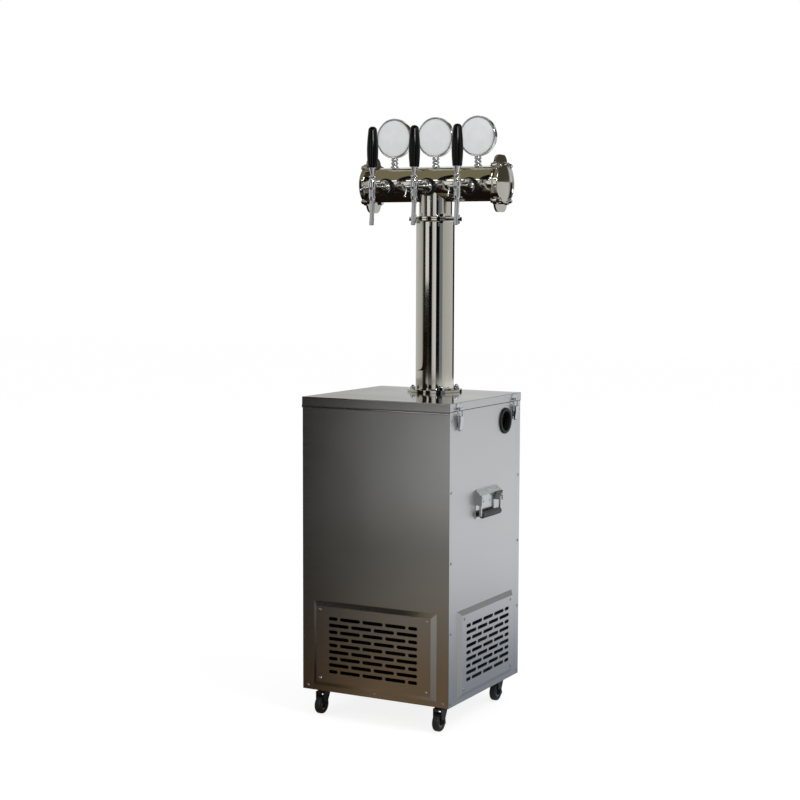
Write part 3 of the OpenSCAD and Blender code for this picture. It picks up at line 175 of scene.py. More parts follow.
def dimmed(code, share):
    """A hex colour made darker, as linear RGBA."""
    return [c * share for c in linear(code)[:3]] + [1.0]


def add_node(tree, kind, inputs=None, **settings):
    """Adds a node with its settings, and sets or links its inputs."""
    node = tree.nodes.new(kind)
    for key, value in settings.items():
        setattr(node, key, value)
    for key, value in (inputs or {}).items():
        socket = node.inputs[key]
        if isinstance(value, bpy.types.NodeSocket):
            tree.links.new(value, socket)
        else:
            socket.default_value = value
    return node


def new_material(name):
    """An empty node material and its tree."""
    material = bpy.data.materials.new(name)
    material.use_nodes = True
    material.node_tree.nodes.clear()
    return material, material.node_tree


def brushed_sheet(name, code, stroke, rough, bump, ripple):
    """Brushed stainless: fine strokes that draw reflections out, on a sheet that isn't quite flat."""
    material, tree = new_material(name)
    place = add_node(tree, "ShaderNodeTexCoord").outputs["Object"]
    grain = add_node(tree, "ShaderNodeMapping", {"Vector": place, "Scale": [1 / length for length in stroke]})
    lines = add_node(tree, "ShaderNodeTexNoise", {
        "Vector": grain.outputs["Vector"], "Scale": 1.0, "Detail": 4.0, "Roughness": 0.65}).outputs["Fac"]
    clouds_a_metre, waves_a_metre = 6.0, 7.0
    cloud = add_node(tree, "ShaderNodeTexNoise", {"Vector": place, "Scale": clouds_a_metre, "Detail": 3.0})
    wave = add_node(tree, "ShaderNodeTexNoise", {"Vector": place, "Scale": waves_a_metre, "Detail": 0.0})
    haze = add_node(tree, "ShaderNodeMapRange", {
        "Value": lines, "From Min": 0.25, "From Max": 0.75, "To Min": rough[0], "To Max": rough[1]})
    streak = add_node(tree, "ShaderNodeMix",
        {"Factor": lines, "A": dimmed(code, 0.90), "B": linear(code)}, data_type="RGBA")
    tint = add_node(tree, "ShaderNodeMix", {
        "Factor": cloud.outputs["Fac"], "A": dimmed(code, 0.96), "B": streak.outputs["Result"]},
        data_type="RGBA")
    sheet = add_node(tree, "ShaderNodeBump",
        {"Height": wave.outputs["Fac"], "Strength": 1.0, "Distance": ripple})
    relief = add_node(tree, "ShaderNodeBump", {
        "Height": lines, "Strength": bump, "Distance": 0.05 * MM, "Normal": sheet.outputs["Normal"]})
    shader = add_node(tree, "ShaderNodeBsdfPrincipled", {
        "Base Color": tint.outputs["Result"], "Roughness": haze.outputs["Result"],
        "Normal": relief.outputs["Normal"], "Metallic": 1.0})
    add_node(tree, "ShaderNodeOutputMaterial", {"Surface": shader.outputs[0]})
    return material


def bright_metal(name, code, rough, smear):
    """Polished or plated metal: a near mirror with faint haze, wiped upright."""
    material, tree = new_material(name)
    place = add_node(tree, "ShaderNodeTexCoord").outputs["Object"]
    wiped = add_node(tree, "ShaderNodeMapping", {
        "Vector": place, "Scale": [1 / length for length in (smear, smear, 3 * smear)]})
    haze = add_node(tree, "ShaderNodeTexNoise", {
        "Vector": wiped.outputs["Vector"], "Scale": 1.0, "Detail": 3.0, "Roughness": 0.6}).outputs["Fac"]
    blur = add_node(tree, "ShaderNodeMapRange", {
        "Value": haze, "From Min": 0.3, "From Max": 0.7, "To Min": rough[0], "To Max": rough[1]})
    tint = add_node(tree, "ShaderNodeMix",
        {"Factor": haze, "A": dimmed(code, 0.94), "B": linear(code)}, data_type="RGBA")
    shader = add_node(tree, "ShaderNodeBsdfPrincipled", {
        "Base Color": tint.outputs["Result"], "Roughness": blur.outputs["Result"], "Metallic": 1.0})
    add_node(tree, "ShaderNodeOutputMaterial", {"Surface": shader.outputs[0]})
    return material


def moulded(name, code, rough, grain, bump, coat=0.0, gloss=0.5):
    """Moulded or painted surface: even colour, slight grain and gloss that varies a little."""
    material, tree = new_material(name)
    place = add_node(tree, "ShaderNodeTexCoord").outputs["Object"]
    fine = add_node(tree, "ShaderNodeMapping", {"Vector": place, "Scale": [1 / grain] * 3})
    skin = add_node(tree, "ShaderNodeTexNoise", {
        "Vector": fine.outputs["Vector"], "Scale": 1.0, "Detail": 4.0, "Roughness": 0.6})
    cloud = add_node(tree, "ShaderNodeTexNoise",
        {"Vector": place, "Scale": 1 / (25 * MM), "Detail": 2.0}).outputs["Fac"]
    haze = add_node(tree, "ShaderNodeMapRange", {
        "Value": cloud, "From Min": 0.3, "From Max": 0.7, "To Min": rough[0], "To Max": rough[1]})
    tint = add_node(tree, "ShaderNodeMix",
        {"Factor": cloud, "A": dimmed(code, 0.85), "B": linear(code)}, data_type="RGBA")
    relief = add_node(tree, "ShaderNodeBump",
        {"Height": skin.outputs["Fac"], "Strength": bump, "Distance": 0.1 * MM})
    shader = add_node(tree, "ShaderNodeBsdfPrincipled", {
        "Base Color": tint.outputs["Result"], "Roughness": haze.outputs["Result"],
        "Normal": relief.outputs["Normal"], "Coat Weight": coat, "Coat Roughness": 0.05,
        "Specular IOR Level": gloss})
    add_node(tree, "ShaderNodeOutputMaterial", {"Surface": shader.outputs[0]})
    return material


FINISHES = {}


def make_finishes(scene):
    """Makes each finish once."""
    colours, sizes = scene.cooler_colours, scene.cooler_sizes
    long, thin = sizes.brush_length, sizes.brush_width
    across, inward = (long, thin, thin), (thin, long, thin)
    FINISHES.update({
        # Number 4 brushed stainless: strokes run level across the front
        "front": brushed_sheet("stainless_brushed_front", colours.front_steel, across,
            rough=(0.12, 0.20), bump=0.35, ripple=0.5 * MM),
        # The lid's sheet is buffed brighter and waves a little more
        "lid": brushed_sheet("stainless_buffed_lid", colours.lid_steel, across,
            rough=(0.07, 0.13), bump=0.2, ripple=2.5 * MM),
        # Satin mill-finish stainless: paler and softer, with strokes along the depth
        "side": brushed_sheet("stainless_satin_side", colours.side_steel, inward,
            rough=(0.34, 0.46), bump=0.15, ripple=0.8 * MM),
        # Polished stainless tube: a mirror with faint haze from wiping
        "tower": bright_metal("stainless_polished_tower", colours.tower_steel,
            rough=(0.03, 0.09), smear=30 * MM),
        # Chrome plate over brass castings: a whiter mirror
        "chrome": bright_metal("chrome_plate", colours.chrome, rough=(0.04, 0.10), smear=12 * MM),
        # Bright zinc on stamped fittings: softer than chrome
        "bright": bright_metal("zinc_bright_fittings", "#C4C7CA", rough=(0.14, 0.24), smear=8 * MM),
        # Zinc-plated steel: greyer and duller than chrome
        "zinc": bright_metal("zinc_plate", "#A9ACAE", rough=(0.28, 0.42), smear=8 * MM),
        # Drawn copper tube: reddish, dulled by handling
        "copper": bright_metal("copper_tube", "#B87048", rough=(0.22, 0.38), smear=10 * MM),
        # Stamped aluminium: pale and half dull
        "aluminium": bright_metal("aluminium_fin", "#B9BBBD", rough=(0.3, 0.45), smear=10 * MM),
        # Compression-moulded phenolic: deep black, buffed to a gloss
        "handle": moulded("phenolic_black", colours.handle_black,
            rough=(0.10, 0.16), grain=2 * MM, bump=0.04, gloss=0.22),
        # Moulded rubber: black, dull and finely grained
        "rubber": moulded("rubber_black", colours.rubber_black,
            rough=(0.4, 0.55), grain=0.6 * MM, bump=0.25, gloss=0.25),
        # Ribbed rubber of the grips: dark grey and duller still
        "grip": moulded("rubber_grip_grey", colours.grip_grey, rough=(0.5, 0.65), grain=0.6 * MM, bump=0.3),
        # Moulded nylon: black with a soft sheen
        "plastic": moulded("nylon_black", "#171819", rough=(0.35, 0.5), grain=0.8 * MM, bump=0.2),
        # Stoved enamel on steel: black with a thin gloss coat
        "paint": moulded("enamel_black", "#141415", rough=(0.3, 0.42), grain=1.5 * MM, bump=0.15, coat=0.2),
        # Enamel of the motors: dark grey with less gloss
        "motor": moulded("enamel_dark_grey", "#4A4D50",
            rough=(0.35, 0.5), grain=1.5 * MM, bump=0.15, coat=0.1),
        # Cast acrylic: white, smooth and glossy
        "disc": moulded("acrylic_white_disc", colours.medallion_white,
            rough=(0.08, 0.2), grain=3 * MM, bump=0.03, coat=0.5),
        # Poured foam: buff, matt and rough
        "foam": moulded("polyurethane_foam", "#E2D6A8", rough=(0.8, 0.95), grain=2 * MM, bump=0.5),
    })


def wear(finish, *nodes):
    """Gives CAD nodes a finish."""
    for node in nodes:
        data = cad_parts[node].data
        data.materials.clear()
        data.materials.append(FINISHES[finish])


def context_object(name):
    """The piece that was just added, named."""
    piece = bpy.context.object
    piece.name = name
    return piece


def let_go():
    """Leaves edit mode, deselects everything and goes back to picking vertices."""
    if bpy.context.object and bpy.context.object.mode != "OBJECT":
        bpy.ops.object.mode_set(mode="OBJECT")
    bpy.context.tool_settings.mesh_select_mode = (True, False, False)
    bpy.ops.object.select_all(action="DESELECT")


def turned(name, profile, segments=64):
    """A round piece about Z: a ring drawn out along the axis and resized at each step of its profile, in mm.

    A profile that comes back to its first point closes on itself; any other end is capped."""
    let_go()
    radius, height = profile[0]
    bpy.ops.mesh.primitive_circle_add(
        vertices=segments, radius=radius * MM, fill_type="NOTHING", location=(0, 0, height * MM))
    piece = context_object(name)
    bpy.ops.object.transform_apply(location=True)
    bpy.ops.object.mode_set(mode="EDIT")
    bpy.ops.mesh.select_all(action="SELECT")
    for new_radius, new_height in profile[1:]:
        bpy.ops.mesh.extrude_region_move(TRANSFORM_OT_translate={"value": (0, 0, (new_height - height) * MM)})
        if new_radius == 0:
            bpy.ops.mesh.merge(type="CENTER")
            break
        scale = new_radius / radius
        bpy.ops.transform.resize(value=(scale, scale, 1), center_override=(0, 0, new_height * MM))
        radius, height = new_radius, new_height
    bpy.ops.mesh.select_all(action="SELECT")
    bpy.ops.mesh.remove_doubles(threshold=0.001 * MM)
    bpy.ops.mesh.fill_holes(sides=0)
    bpy.ops.mesh.select_all(action="SELECT")
    bpy.ops.mesh.normals_make_consistent(inside=False)
    bpy.ops.object.mode_set(mode="OBJECT")
    return piece


def take(piece):
    """Selects one piece alone and makes it active."""
    let_go()
    piece.select_set(True)
    bpy.context.view_layer.objects.active = piece


def placed(piece, spot=(0, 0, 0), turn=(0, 0, 0)):
    """Turns a piece, moves it to its spot and applies both, so that its object sits at the origin."""
    take(piece)
    piece.rotation_euler = turn
    piece.location = spot
    bpy.ops.object.transform_apply(location=True, rotation=True, scale=True)
    return piece


def block(name, size, spot):
    """A cube drawn out to a size at its spot."""
    let_go()
    bpy.ops.mesh.primitive_cube_add(size=1)
    piece = context_object(name)
    piece.scale = size
    return placed(piece, spot)


def pick(piece, kind, fits):
    """Enters edit mode with those edges or faces of a piece selected that fit a test."""
    take(piece)
    bpy.ops.object.mode_set(mode="EDIT")
    bpy.ops.mesh.select_mode(type=kind)
    bpy.ops.mesh.select_all(action="DESELECT")
    bpy.ops.object.mode_set(mode="OBJECT")
    mesh = piece.data
    for element in mesh.edges if kind == "EDGE" else mesh.polygons:
        element.select = fits(element, [mesh.vertices[index].co for index in element.vertices])
    bpy.ops.object.mode_set(mode="EDIT")


def modified(piece, kind, **settings):
    """Adds a modifier with its settings to a piece and applies it."""
    take(piece)
    change = piece.modifiers.new(kind.lower(), kind)
    for key, value in settings.items():
        setattr(change, key, value)
    bpy.ops.object.modifier_apply(modifier=change.name)
    return piece


def soften(piece, width=0, segments=2):
    """Breaks a piece's sharp edges and shades it smooth between them."""
    if width:
        modified(piece, "BEVEL", width=width, segments=segments, limit_method="ANGLE", angle_limit=ROUNDED)
    take(piece)
    bpy.ops.object.shade_smooth_by_angle(angle=SHARP)
    return modified(piece, "WEIGHTED_NORMAL", keep_sharp=True)


def ease(width, *nodes):
    """Rounds the sharp edges of CAD nodes with modifiers, which leave their meshes as they are."""
    for node in nodes:
        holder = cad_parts[node]
        holder.modifiers.new("weld", "WELD").merge_threshold = WELD
        edge = holder.modifiers.new("edge", "BEVEL")
        edge.width = width
        edge.segments = 2
        edge.limit_method = "ANGLE"
        edge.angle_limit = NODE_ROUNDED


def joined(name, *pieces):
    """Several shells made one piece."""
    take(pieces[0])
    for piece in pieces[1:]:
        piece.select_set(True)
    bpy.ops.object.join()
    pieces[0].name = name
    return pieces[0]


def fused(piece, other, operation="UNION"):
    """Unites another shell with a piece, or cuts it out."""
    modified(piece, "BOOLEAN", operation=operation, solver="EXACT", object=other)
    bpy.data.objects.remove(other)
    return piece


def rounded_true(piece, *rounds):
    """Points the shading of round walls straight away from their axes, whatever faces the cuts left.

    Each round is a point on its axis, the axis and the wall's radius."""
    off, facing = 0.05 * MM, 0.99
    mesh = piece.data
    normals = [corner.vector.copy() for corner in mesh.corner_normals]
    for face in mesh.polygons:
        for corner in face.loop_indices:
            spot = mesh.vertices[mesh.loops[corner].vertex_index].co
            for point, axis, radius in rounds:
                out = spot - point
                out -= out.dot(axis) * axis
                if abs(out.length - radius) < off and abs(face.normal.dot(out.normalized())) > facing:
                    normals[corner] = out.normalized() * math.copysign(1, face.normal.dot(out))
    mesh.normals_split_custom_set(normals)
    return piece


def copied(piece, name, spot=(0, 0, 0), turn=(0, 0, 0)):
    """A copy of a piece with its own mesh, turned and moved to a spot."""
    twin = piece.copy()
    twin.data = piece.data.copy()
    twin.name = name
    bpy.context.scene.collection.objects.link(twin)
    return placed(twin, spot, turn)


def drop(*patterns):
    """Removes patterns that have been copied."""
    for pattern in patterns:
        bpy.data.objects.remove(pattern)


def seat(piece, body, finish, slot, *nodes):
    """Gives a piece its finish, and has it ride on a body in place of CAD nodes."""
    piece.data.materials.clear()
    piece.data.materials.append(FINISHES[finish])
    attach(piece, body)
    if nodes:
        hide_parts(*nodes)
    return piece


def plain(tone):
    """One tone all round a card."""
    return ((-180, tone), (180, tone))


class COOLER_OT_stage(bpy.types.Operator):
    """Sets the floor, the lamps, the cards that the metal reflects, and the photograph's camera"""

    bl_idname = "cooler.stage"
    bl_label = "Stage"

    def execute(self, context):
        scene = context.scene
        scene.view_settings.view_transform = "Standard"
        self.make_world(scene)
        self.make_floor()
        self.make_room()
        self.make_lamps(scene)
        self.make_camera(scene)
        return {"FINISHED"}

    def make_world(self, scene):
        """White to the camera and in reflections, plain soft light to matt surfaces."""
        world = bpy.data.worlds.new("studio")
        scene.world = world
        world.use_nodes = True
        tree = world.node_tree
        tree.nodes.clear()
        rays = add_node(tree, "ShaderNodeLightPath")
        seen = add_node(tree, "ShaderNodeMath",
            {0: rays.outputs["Is Camera Ray"], 1: rays.outputs["Is Glossy Ray"]}, operation="MAXIMUM")
        seen = add_node(tree, "ShaderNodeMath",
            {0: seen.outputs[0], 1: rays.outputs["Is Transmission Ray"]}, operation="MAXIMUM")
        strength = add_node(tree, "ShaderNodeMapRange",
            {"Value": seen.outputs[0], "To Min": 0.75, "To Max": 1.0})
        back = add_node(tree, "ShaderNodeBackground",
            {"Color": linear("#FFFFFF"), "Strength": strength.outputs["Result"]})
        add_node(tree, "ShaderNodeOutputWorld", {"Surface": back.outputs[0]})

    def make_floor(self):
        """A pale floor that is white to the camera but for the object's shadow."""
        let_go()
        bpy.ops.mesh.primitive_plane_add(size=30, location=(0, 0, -0.2 * MM))
        floor = context_object("studio_floor")
        material, tree = new_material("pale_floor")
        matt = add_node(tree, "ShaderNodeBsdfDiffuse", {"Color": linear("#F6F6F6")})
        glow = add_node(tree, "ShaderNodeEmission", {"Strength": 1.08})
        mix = add_node(tree, "ShaderNodeMixShader", {"Fac": 0.78, 1: matt.outputs[0], 2: glow.outputs[0]})
        add_node(tree, "ShaderNodeOutputMaterial", {"Surface": mix.outputs[0]})
        floor.data.materials.append(material)

    def make_room(self):
        """The dim, warm room that the metal in the photograph mirrors: cards that only reflections see."""
        for name, low, high, tones in (
            ("room_wall_low", 0.0, 0.62, LOW_WALL_TONES),
            ("room_wall", 0.62, 1.55, WALL_TONES),
            ("room_wall_high", 1.55, 3.0, HIGH_WALL_TONES),
        ):
            let_go()
            bpy.ops.mesh.primitive_cylinder_add(vertices=96, radius=ROOM_R, depth=high - low,
                end_fill_type="NOTHING", location=(0, 0, (low + high) / 2))
            self.shade_card(context_object(name), tones)
        let_go()
        bpy.ops.mesh.primitive_circle_add(
            vertices=96, radius=ROOM_R, fill_type="NGON", location=(0, 0, 1 * MM))
        self.shade_card(context_object("room_floor"), FLOOR_TONES, FLOOR_SHADOW_TONES)
        for name, spot, size, tone in (
            ("room_ceiling", (-1.35, -0.6, 2.8), (2.2, 4.2, 1), "olive"),
            ("room_ceiling_right", (1.55, 0, 3.0), (3.6, 6.8, 1), "shade"),
            # An umber card under the tee's level tube, seen only in reflections: painted shade on the tee's
            # lower half
            ("room_tee_shade_card", (TOWER_X - 0.1, TOWER_Y + 0.08, TEE_LOW.z), (0.8, 0.34, 1), "umber"),
        ):
            let_go()
            bpy.ops.mesh.primitive_plane_add(size=1, location=spot)
            card = context_object(name)
            card.scale = size
            self.shade_card(card, plain(tone))
        let_go()
        bpy.ops.mesh.primitive_circle_add(
            vertices=180, radius=2.4, fill_type="TRIFAN", location=(TOWER_X, TOWER_Y, 0.885))
        self.shade_card(self.kept_sector("room_table", -46, -18), plain("umber"))
        # White cards that glow but are no lamps, seen only in reflections: a painted bright band on the
        # column, and painted glints on the handles and chrome
        for name, first, last, level, height, strength in (
            ("room_window", -33, -12, 1.65, 1.2, 1.0),
            ("room_glint", 36, 43, 2.4, 0.4, 50.0),
        ):
            let_go()
            bpy.ops.mesh.primitive_cylinder_add(vertices=192, radius=ROOM_R - 0.1, depth=height,
                end_fill_type="NOTHING", location=(0, 0, level))
            self.shade_card(self.kept_sector(name, first, last), plain("white"), strength=strength)

    def kept_sector(self, name, first, last):
        """The round card that was just added, cut down to the faces between two azimuths."""
        def outside(face, corners):
            return not first < math.degrees(math.atan2(face.center.x, -face.center.y)) < last

        card = context_object(name)
        pick(card, "FACE", outside)
        bpy.ops.mesh.delete(type="FACE")
        let_go()
        return card

    def shade_card(self, card, tones, near=None, strength=1.0):
        """A card's glow by azimuth, with darker tones near the cabinet as painted shadow; only reflections
        see the card.
        """
        material, tree = new_material(card.name)
        spot = add_node(tree, "ShaderNodeNewGeometry").outputs["Position"]
        axes = add_node(tree, "ShaderNodeSeparateXYZ", {"Vector": spot})
        front = add_node(tree, "ShaderNodeMath", {0: axes.outputs["Y"], 1: -1.0}, operation="MULTIPLY")
        azimuth = add_node(tree, "ShaderNodeMath",
            {0: axes.outputs["X"], 1: front.outputs[0]}, operation="ARCTAN2")
        share = add_node(tree, "ShaderNodeMapRange",
            {"Value": azimuth.outputs[0], "From Min": -math.pi, "From Max": math.pi})
        colour = self.tone_ramp(tree, share.outputs["Result"], tones)
        # Near the cabinet the card takes the darker tones: painted shadow of the cabinet
        if near:
            level = add_node(tree, "ShaderNodeVectorMath", {0: spot}, operation="LENGTH")
            fade = add_node(tree, "ShaderNodeMapRange",
                {"Value": level.outputs["Value"], "From Min": 0.7, "From Max": 1.9})
            close = self.tone_ramp(tree, share.outputs["Result"], near)
            mix = add_node(tree, "ShaderNodeMix",
                {"Factor": fade.outputs["Result"], "A": close, "B": colour}, data_type="RGBA")
            colour = mix.outputs["Result"]
        glow = add_node(tree, "ShaderNodeEmission", {"Color": colour, "Strength": strength})
        add_node(tree, "ShaderNodeOutputMaterial", {"Surface": glow.outputs[0]})
        card.data.materials.append(material)
        card.visible_camera = False
        card.visible_diffuse = False
        card.visible_shadow = False
        card.visible_transmission = False

    def tone_ramp(self, tree, share, tones):
        """Colour by a share of the turn."""
        ramp = add_node(tree, "ShaderNodeValToRGB", {"Fac": share})
        stops = ramp.color_ramp.elements
        for index, (degrees, tone) in enumerate(tones):
            stop = stops[index] if index < 2 else stops.new(1.0)
            stop.position = (degrees + 180) / 360
            stop.color = linear(TONES[tone])
        return ramp.outputs["Color"]

    def make_lamps(self, scene):
        """A large soft lamp above and to the right, and a weaker one at the front left."""
        target = Vector((0, 0, 0.7))
        for name, spot, size, power in (
            ("lamp_key", (2.4, -0.6, 3.2), 1.6, 60),
            ("lamp_fill", (-1.6, -3.0, 2.6), 1.2, 14),
        ):
            light = bpy.data.lights.new(name, "AREA")
            light.size = size
            light.energy = power
            lamp = bpy.data.objects.new(name, light)
            scene.collection.objects.link(lamp)
            lamp.location = spot
            lamp.rotation_euler = (target - Vector(spot)).to_track_quat("-Z", "Y").to_euler()

    def make_camera(self, scene):
        """The photograph's camera, fitted to the cabinet's and the tower's edges."""
        place = Vector((2.0261, -3.7519, 1.1868))
        yaw, pitch, roll = -0.4763, -0.0877, 0.0056
        focal_px, shift_px, frame_px, sensor = 1639.5, (44.4, 0.5), 800, 36
        ahead = Vector((math.sin(yaw) * math.cos(pitch), math.cos(yaw) * math.cos(pitch), math.sin(pitch)))
        right = Vector((math.cos(yaw), -math.sin(yaw), 0))
        up = right.cross(ahead)
        right, up = (
            math.cos(roll) * right + math.sin(roll) * up, math.cos(roll) * up - math.sin(roll) * right)
        camera = bpy.data.objects.new("photo_camera", bpy.data.cameras.new("photo_camera"))
        scene.collection.objects.link(camera)
        camera.matrix_world = Matrix.Translation(place) @ Matrix((right, up, -ahead)).transposed().to_4x4()
        camera.data.sensor_width = sensor
        camera.data.lens = focal_px * sensor / frame_px
        camera.data.shift_x = -shift_px[0] / frame_px
        camera.data.shift_y = shift_px[1] / frame_px
        scene.camera = camera


class COOLER_OT_cabinet(bpy.types.Operator):
    """Finishes the panels, vents and screws, folds the lid, lays a black strip under its lip as painted
    shadow of the gap, and turns the hose port
    """

    bl_idname = "cooler.cabinet"
    bl_label = "Cabinet"

    def execute(self, context):
        wear("front", "front_panel")
        wear("side", "side_panels", "rear_panel", "base_pan")
        wear("bright", "cabinet_screws")
        wear("plastic", "cable_gland")
        self.press_vents()
        self.fold_lid(context.scene.cooler_sizes)
        self.lay_gap_shadow(context.scene.cooler_sizes)
        self.turn_port()
        return {"FINISHED"}

    def turn_port(self):
        """The hose port's ring: a rounded flange on a sleeve with a groove for the panel."""
        low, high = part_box("hose_port")
        bore, rim = 25, 5
        port = turned("hose_port_ring", (
            (bore, -9.2), (31.4, -9.2), (32, -8.6), (32, -1.6), (31.6, -1.2), (29, -1.2), (29, 0), (33.4, 0),
            (34, 0.6), (34, 2.4), (33.6, 3.6), (32.6, 4.6), (31, rim), (27.5, rim), (26, 4.6), (25.2, 3.8),
            (bore, 2.8), (bore, -9.2)))
        placed(port, (high.x - rim * MM, (low.y + high.y) / 2, (low.z + high.z) / 2), (0, math.pi / 2, 0))
        seat(soften(port), "cabinet", "rubber", "black_plastic", "hose_port")

    def fold_lid(self, sizes):
        """The lid: a tray of sheet with rounded folds, its front lip deeper than the others."""
        low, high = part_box("lid")
        depth, hem = sizes.side_lip, sizes.lip_hem
        half_way = high.z - depth / 2
        lid = block("lid_tray", (high.x - low.x, high.y - low.y, depth),
            (centre("lid").x, centre("lid").y, half_way))
        pick(lid, "FACE", lambda face, corners: face.normal.z < -STEEP)
        bpy.ops.mesh.delete(type="FACE")
        pick(lid, "EDGE", lambda edge, ends: all(
            end.z < half_way and end.y < low.y + depth / 2 for end in ends))
        # The front lip goes straight down, then out and in again round its hem
        straight = high.z - depth - low.z - 4 * hem
        for out, down in ((0, straight), (-hem / 2, hem), (0, 2 * hem), (hem / 2, hem)):
            bpy.ops.mesh.extrude_region_move(TRANSFORM_OT_translate={"value": (0, out, -down)})
        soften(lid, sizes.sheet_bend, 4)
        modified(lid, "SOLIDIFY", thickness=sizes.sheet)
        seat(soften(lid), "cabinet", "lid", "brushed_stainless", "lid")
        # The folded lips take the finish of the panel below them
        for finish in ("front", "side"):
            lid.data.materials.append(FINISHES[finish])
        for face in lid.data.polygons:
            if face.normal.y < -STEEP:
                face.material_index = 1
            elif abs(face.normal.x) > STEEP or face.normal.y > STEEP:
                face.material_index = 2

    def lay_gap_shadow(self, sizes):
        """A thin black strip under the lid's lip along the sides and the back: painted shadow of the gap
        between the lid and the panels.
        """
        low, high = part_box("lid")
        wall_low, wall_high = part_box("side_panels")
        deep = wall_high.y - wall_low.y
        wide, tall, rounding = 1.2 * MM, 1.7 * MM, 0.5 * MM
        below_lip, off_wall = 0.05 * MM, 0.02 * MM
        level = high.z - sizes.side_lip - below_lip - tall / 2
        gap_strips = []
        for turn, reach, length in (
            (0, wall_high.x, deep), (math.pi, wall_high.x, deep),
            (math.pi / 2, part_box("rear_panel")[1].y, 2 * wall_high.x),
        ):
            gap_strip = block("gap_strip", (wide, length, tall), (reach + off_wall + wide / 2, 0, level))
            gap_strips.append(placed(soften(gap_strip, rounding, 3), turn=(0, 0, turn)))
        # The strips wear the black rubber finish but stand for the shadow in the gap: painted shadow, not a
        # seal
        seat(soften(joined("lid_painted_gap_shadow", *gap_strips)), "cabinet", "rubber", "black_rubber")

    def press_vents(self):
        """The vent covers, each with softened edges and the finish of the side that it is on."""
        covers = bpy.data.objects.new("vent_cover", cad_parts["vent_covers"].data.copy())
        bpy.context.scene.collection.objects.link(covers)
        placed(covers)
        bpy.ops.object.mode_set(mode="EDIT")
        bpy.ops.mesh.select_all(action="SELECT")
        bpy.ops.mesh.remove_doubles(threshold=WELD)
        bpy.ops.mesh.dissolve_limited(angle_limit=math.radians(1))
        bpy.ops.mesh.separate(type="LOOSE")
        bpy.ops.object.mode_set(mode="OBJECT")
        for cover in list(bpy.context.selected_objects):
            across = [vertex.co.x for vertex in cover.data.vertices]
            side = "right" if min(across) > 0 else "left" if max(across) < 0 else "front"
            cover.name = f"vent_cover_{side}"
            soften(cover, 0.7 * MM)
            nodes = ("vent_covers",) if side == "front" else ()
            seat(cover, "cabinet", "front" if side == "front" else "side", "brushed_stainless", *nodes)


class COOLER_OT_machine(bpy.types.Operator):
    """Finishes what the cabinet holds"""

    bl_idname = "cooler.machine"
    bl_label = "Bath and Machine"

    def execute(self, context):
        wear("foam", "foam_insulation")
        wear("side", "water_tank", "beer_lines")
        wear("zinc", "tank_shelf", "agitator_shaft")
        wear("copper", "evaporator_coil")
        wear("motor", "agitator_motor", "fan_motor")
        wear("paint", "compressor", "condenser")
        wear("aluminium", "fan_blade")
        return {"FINISHED"}


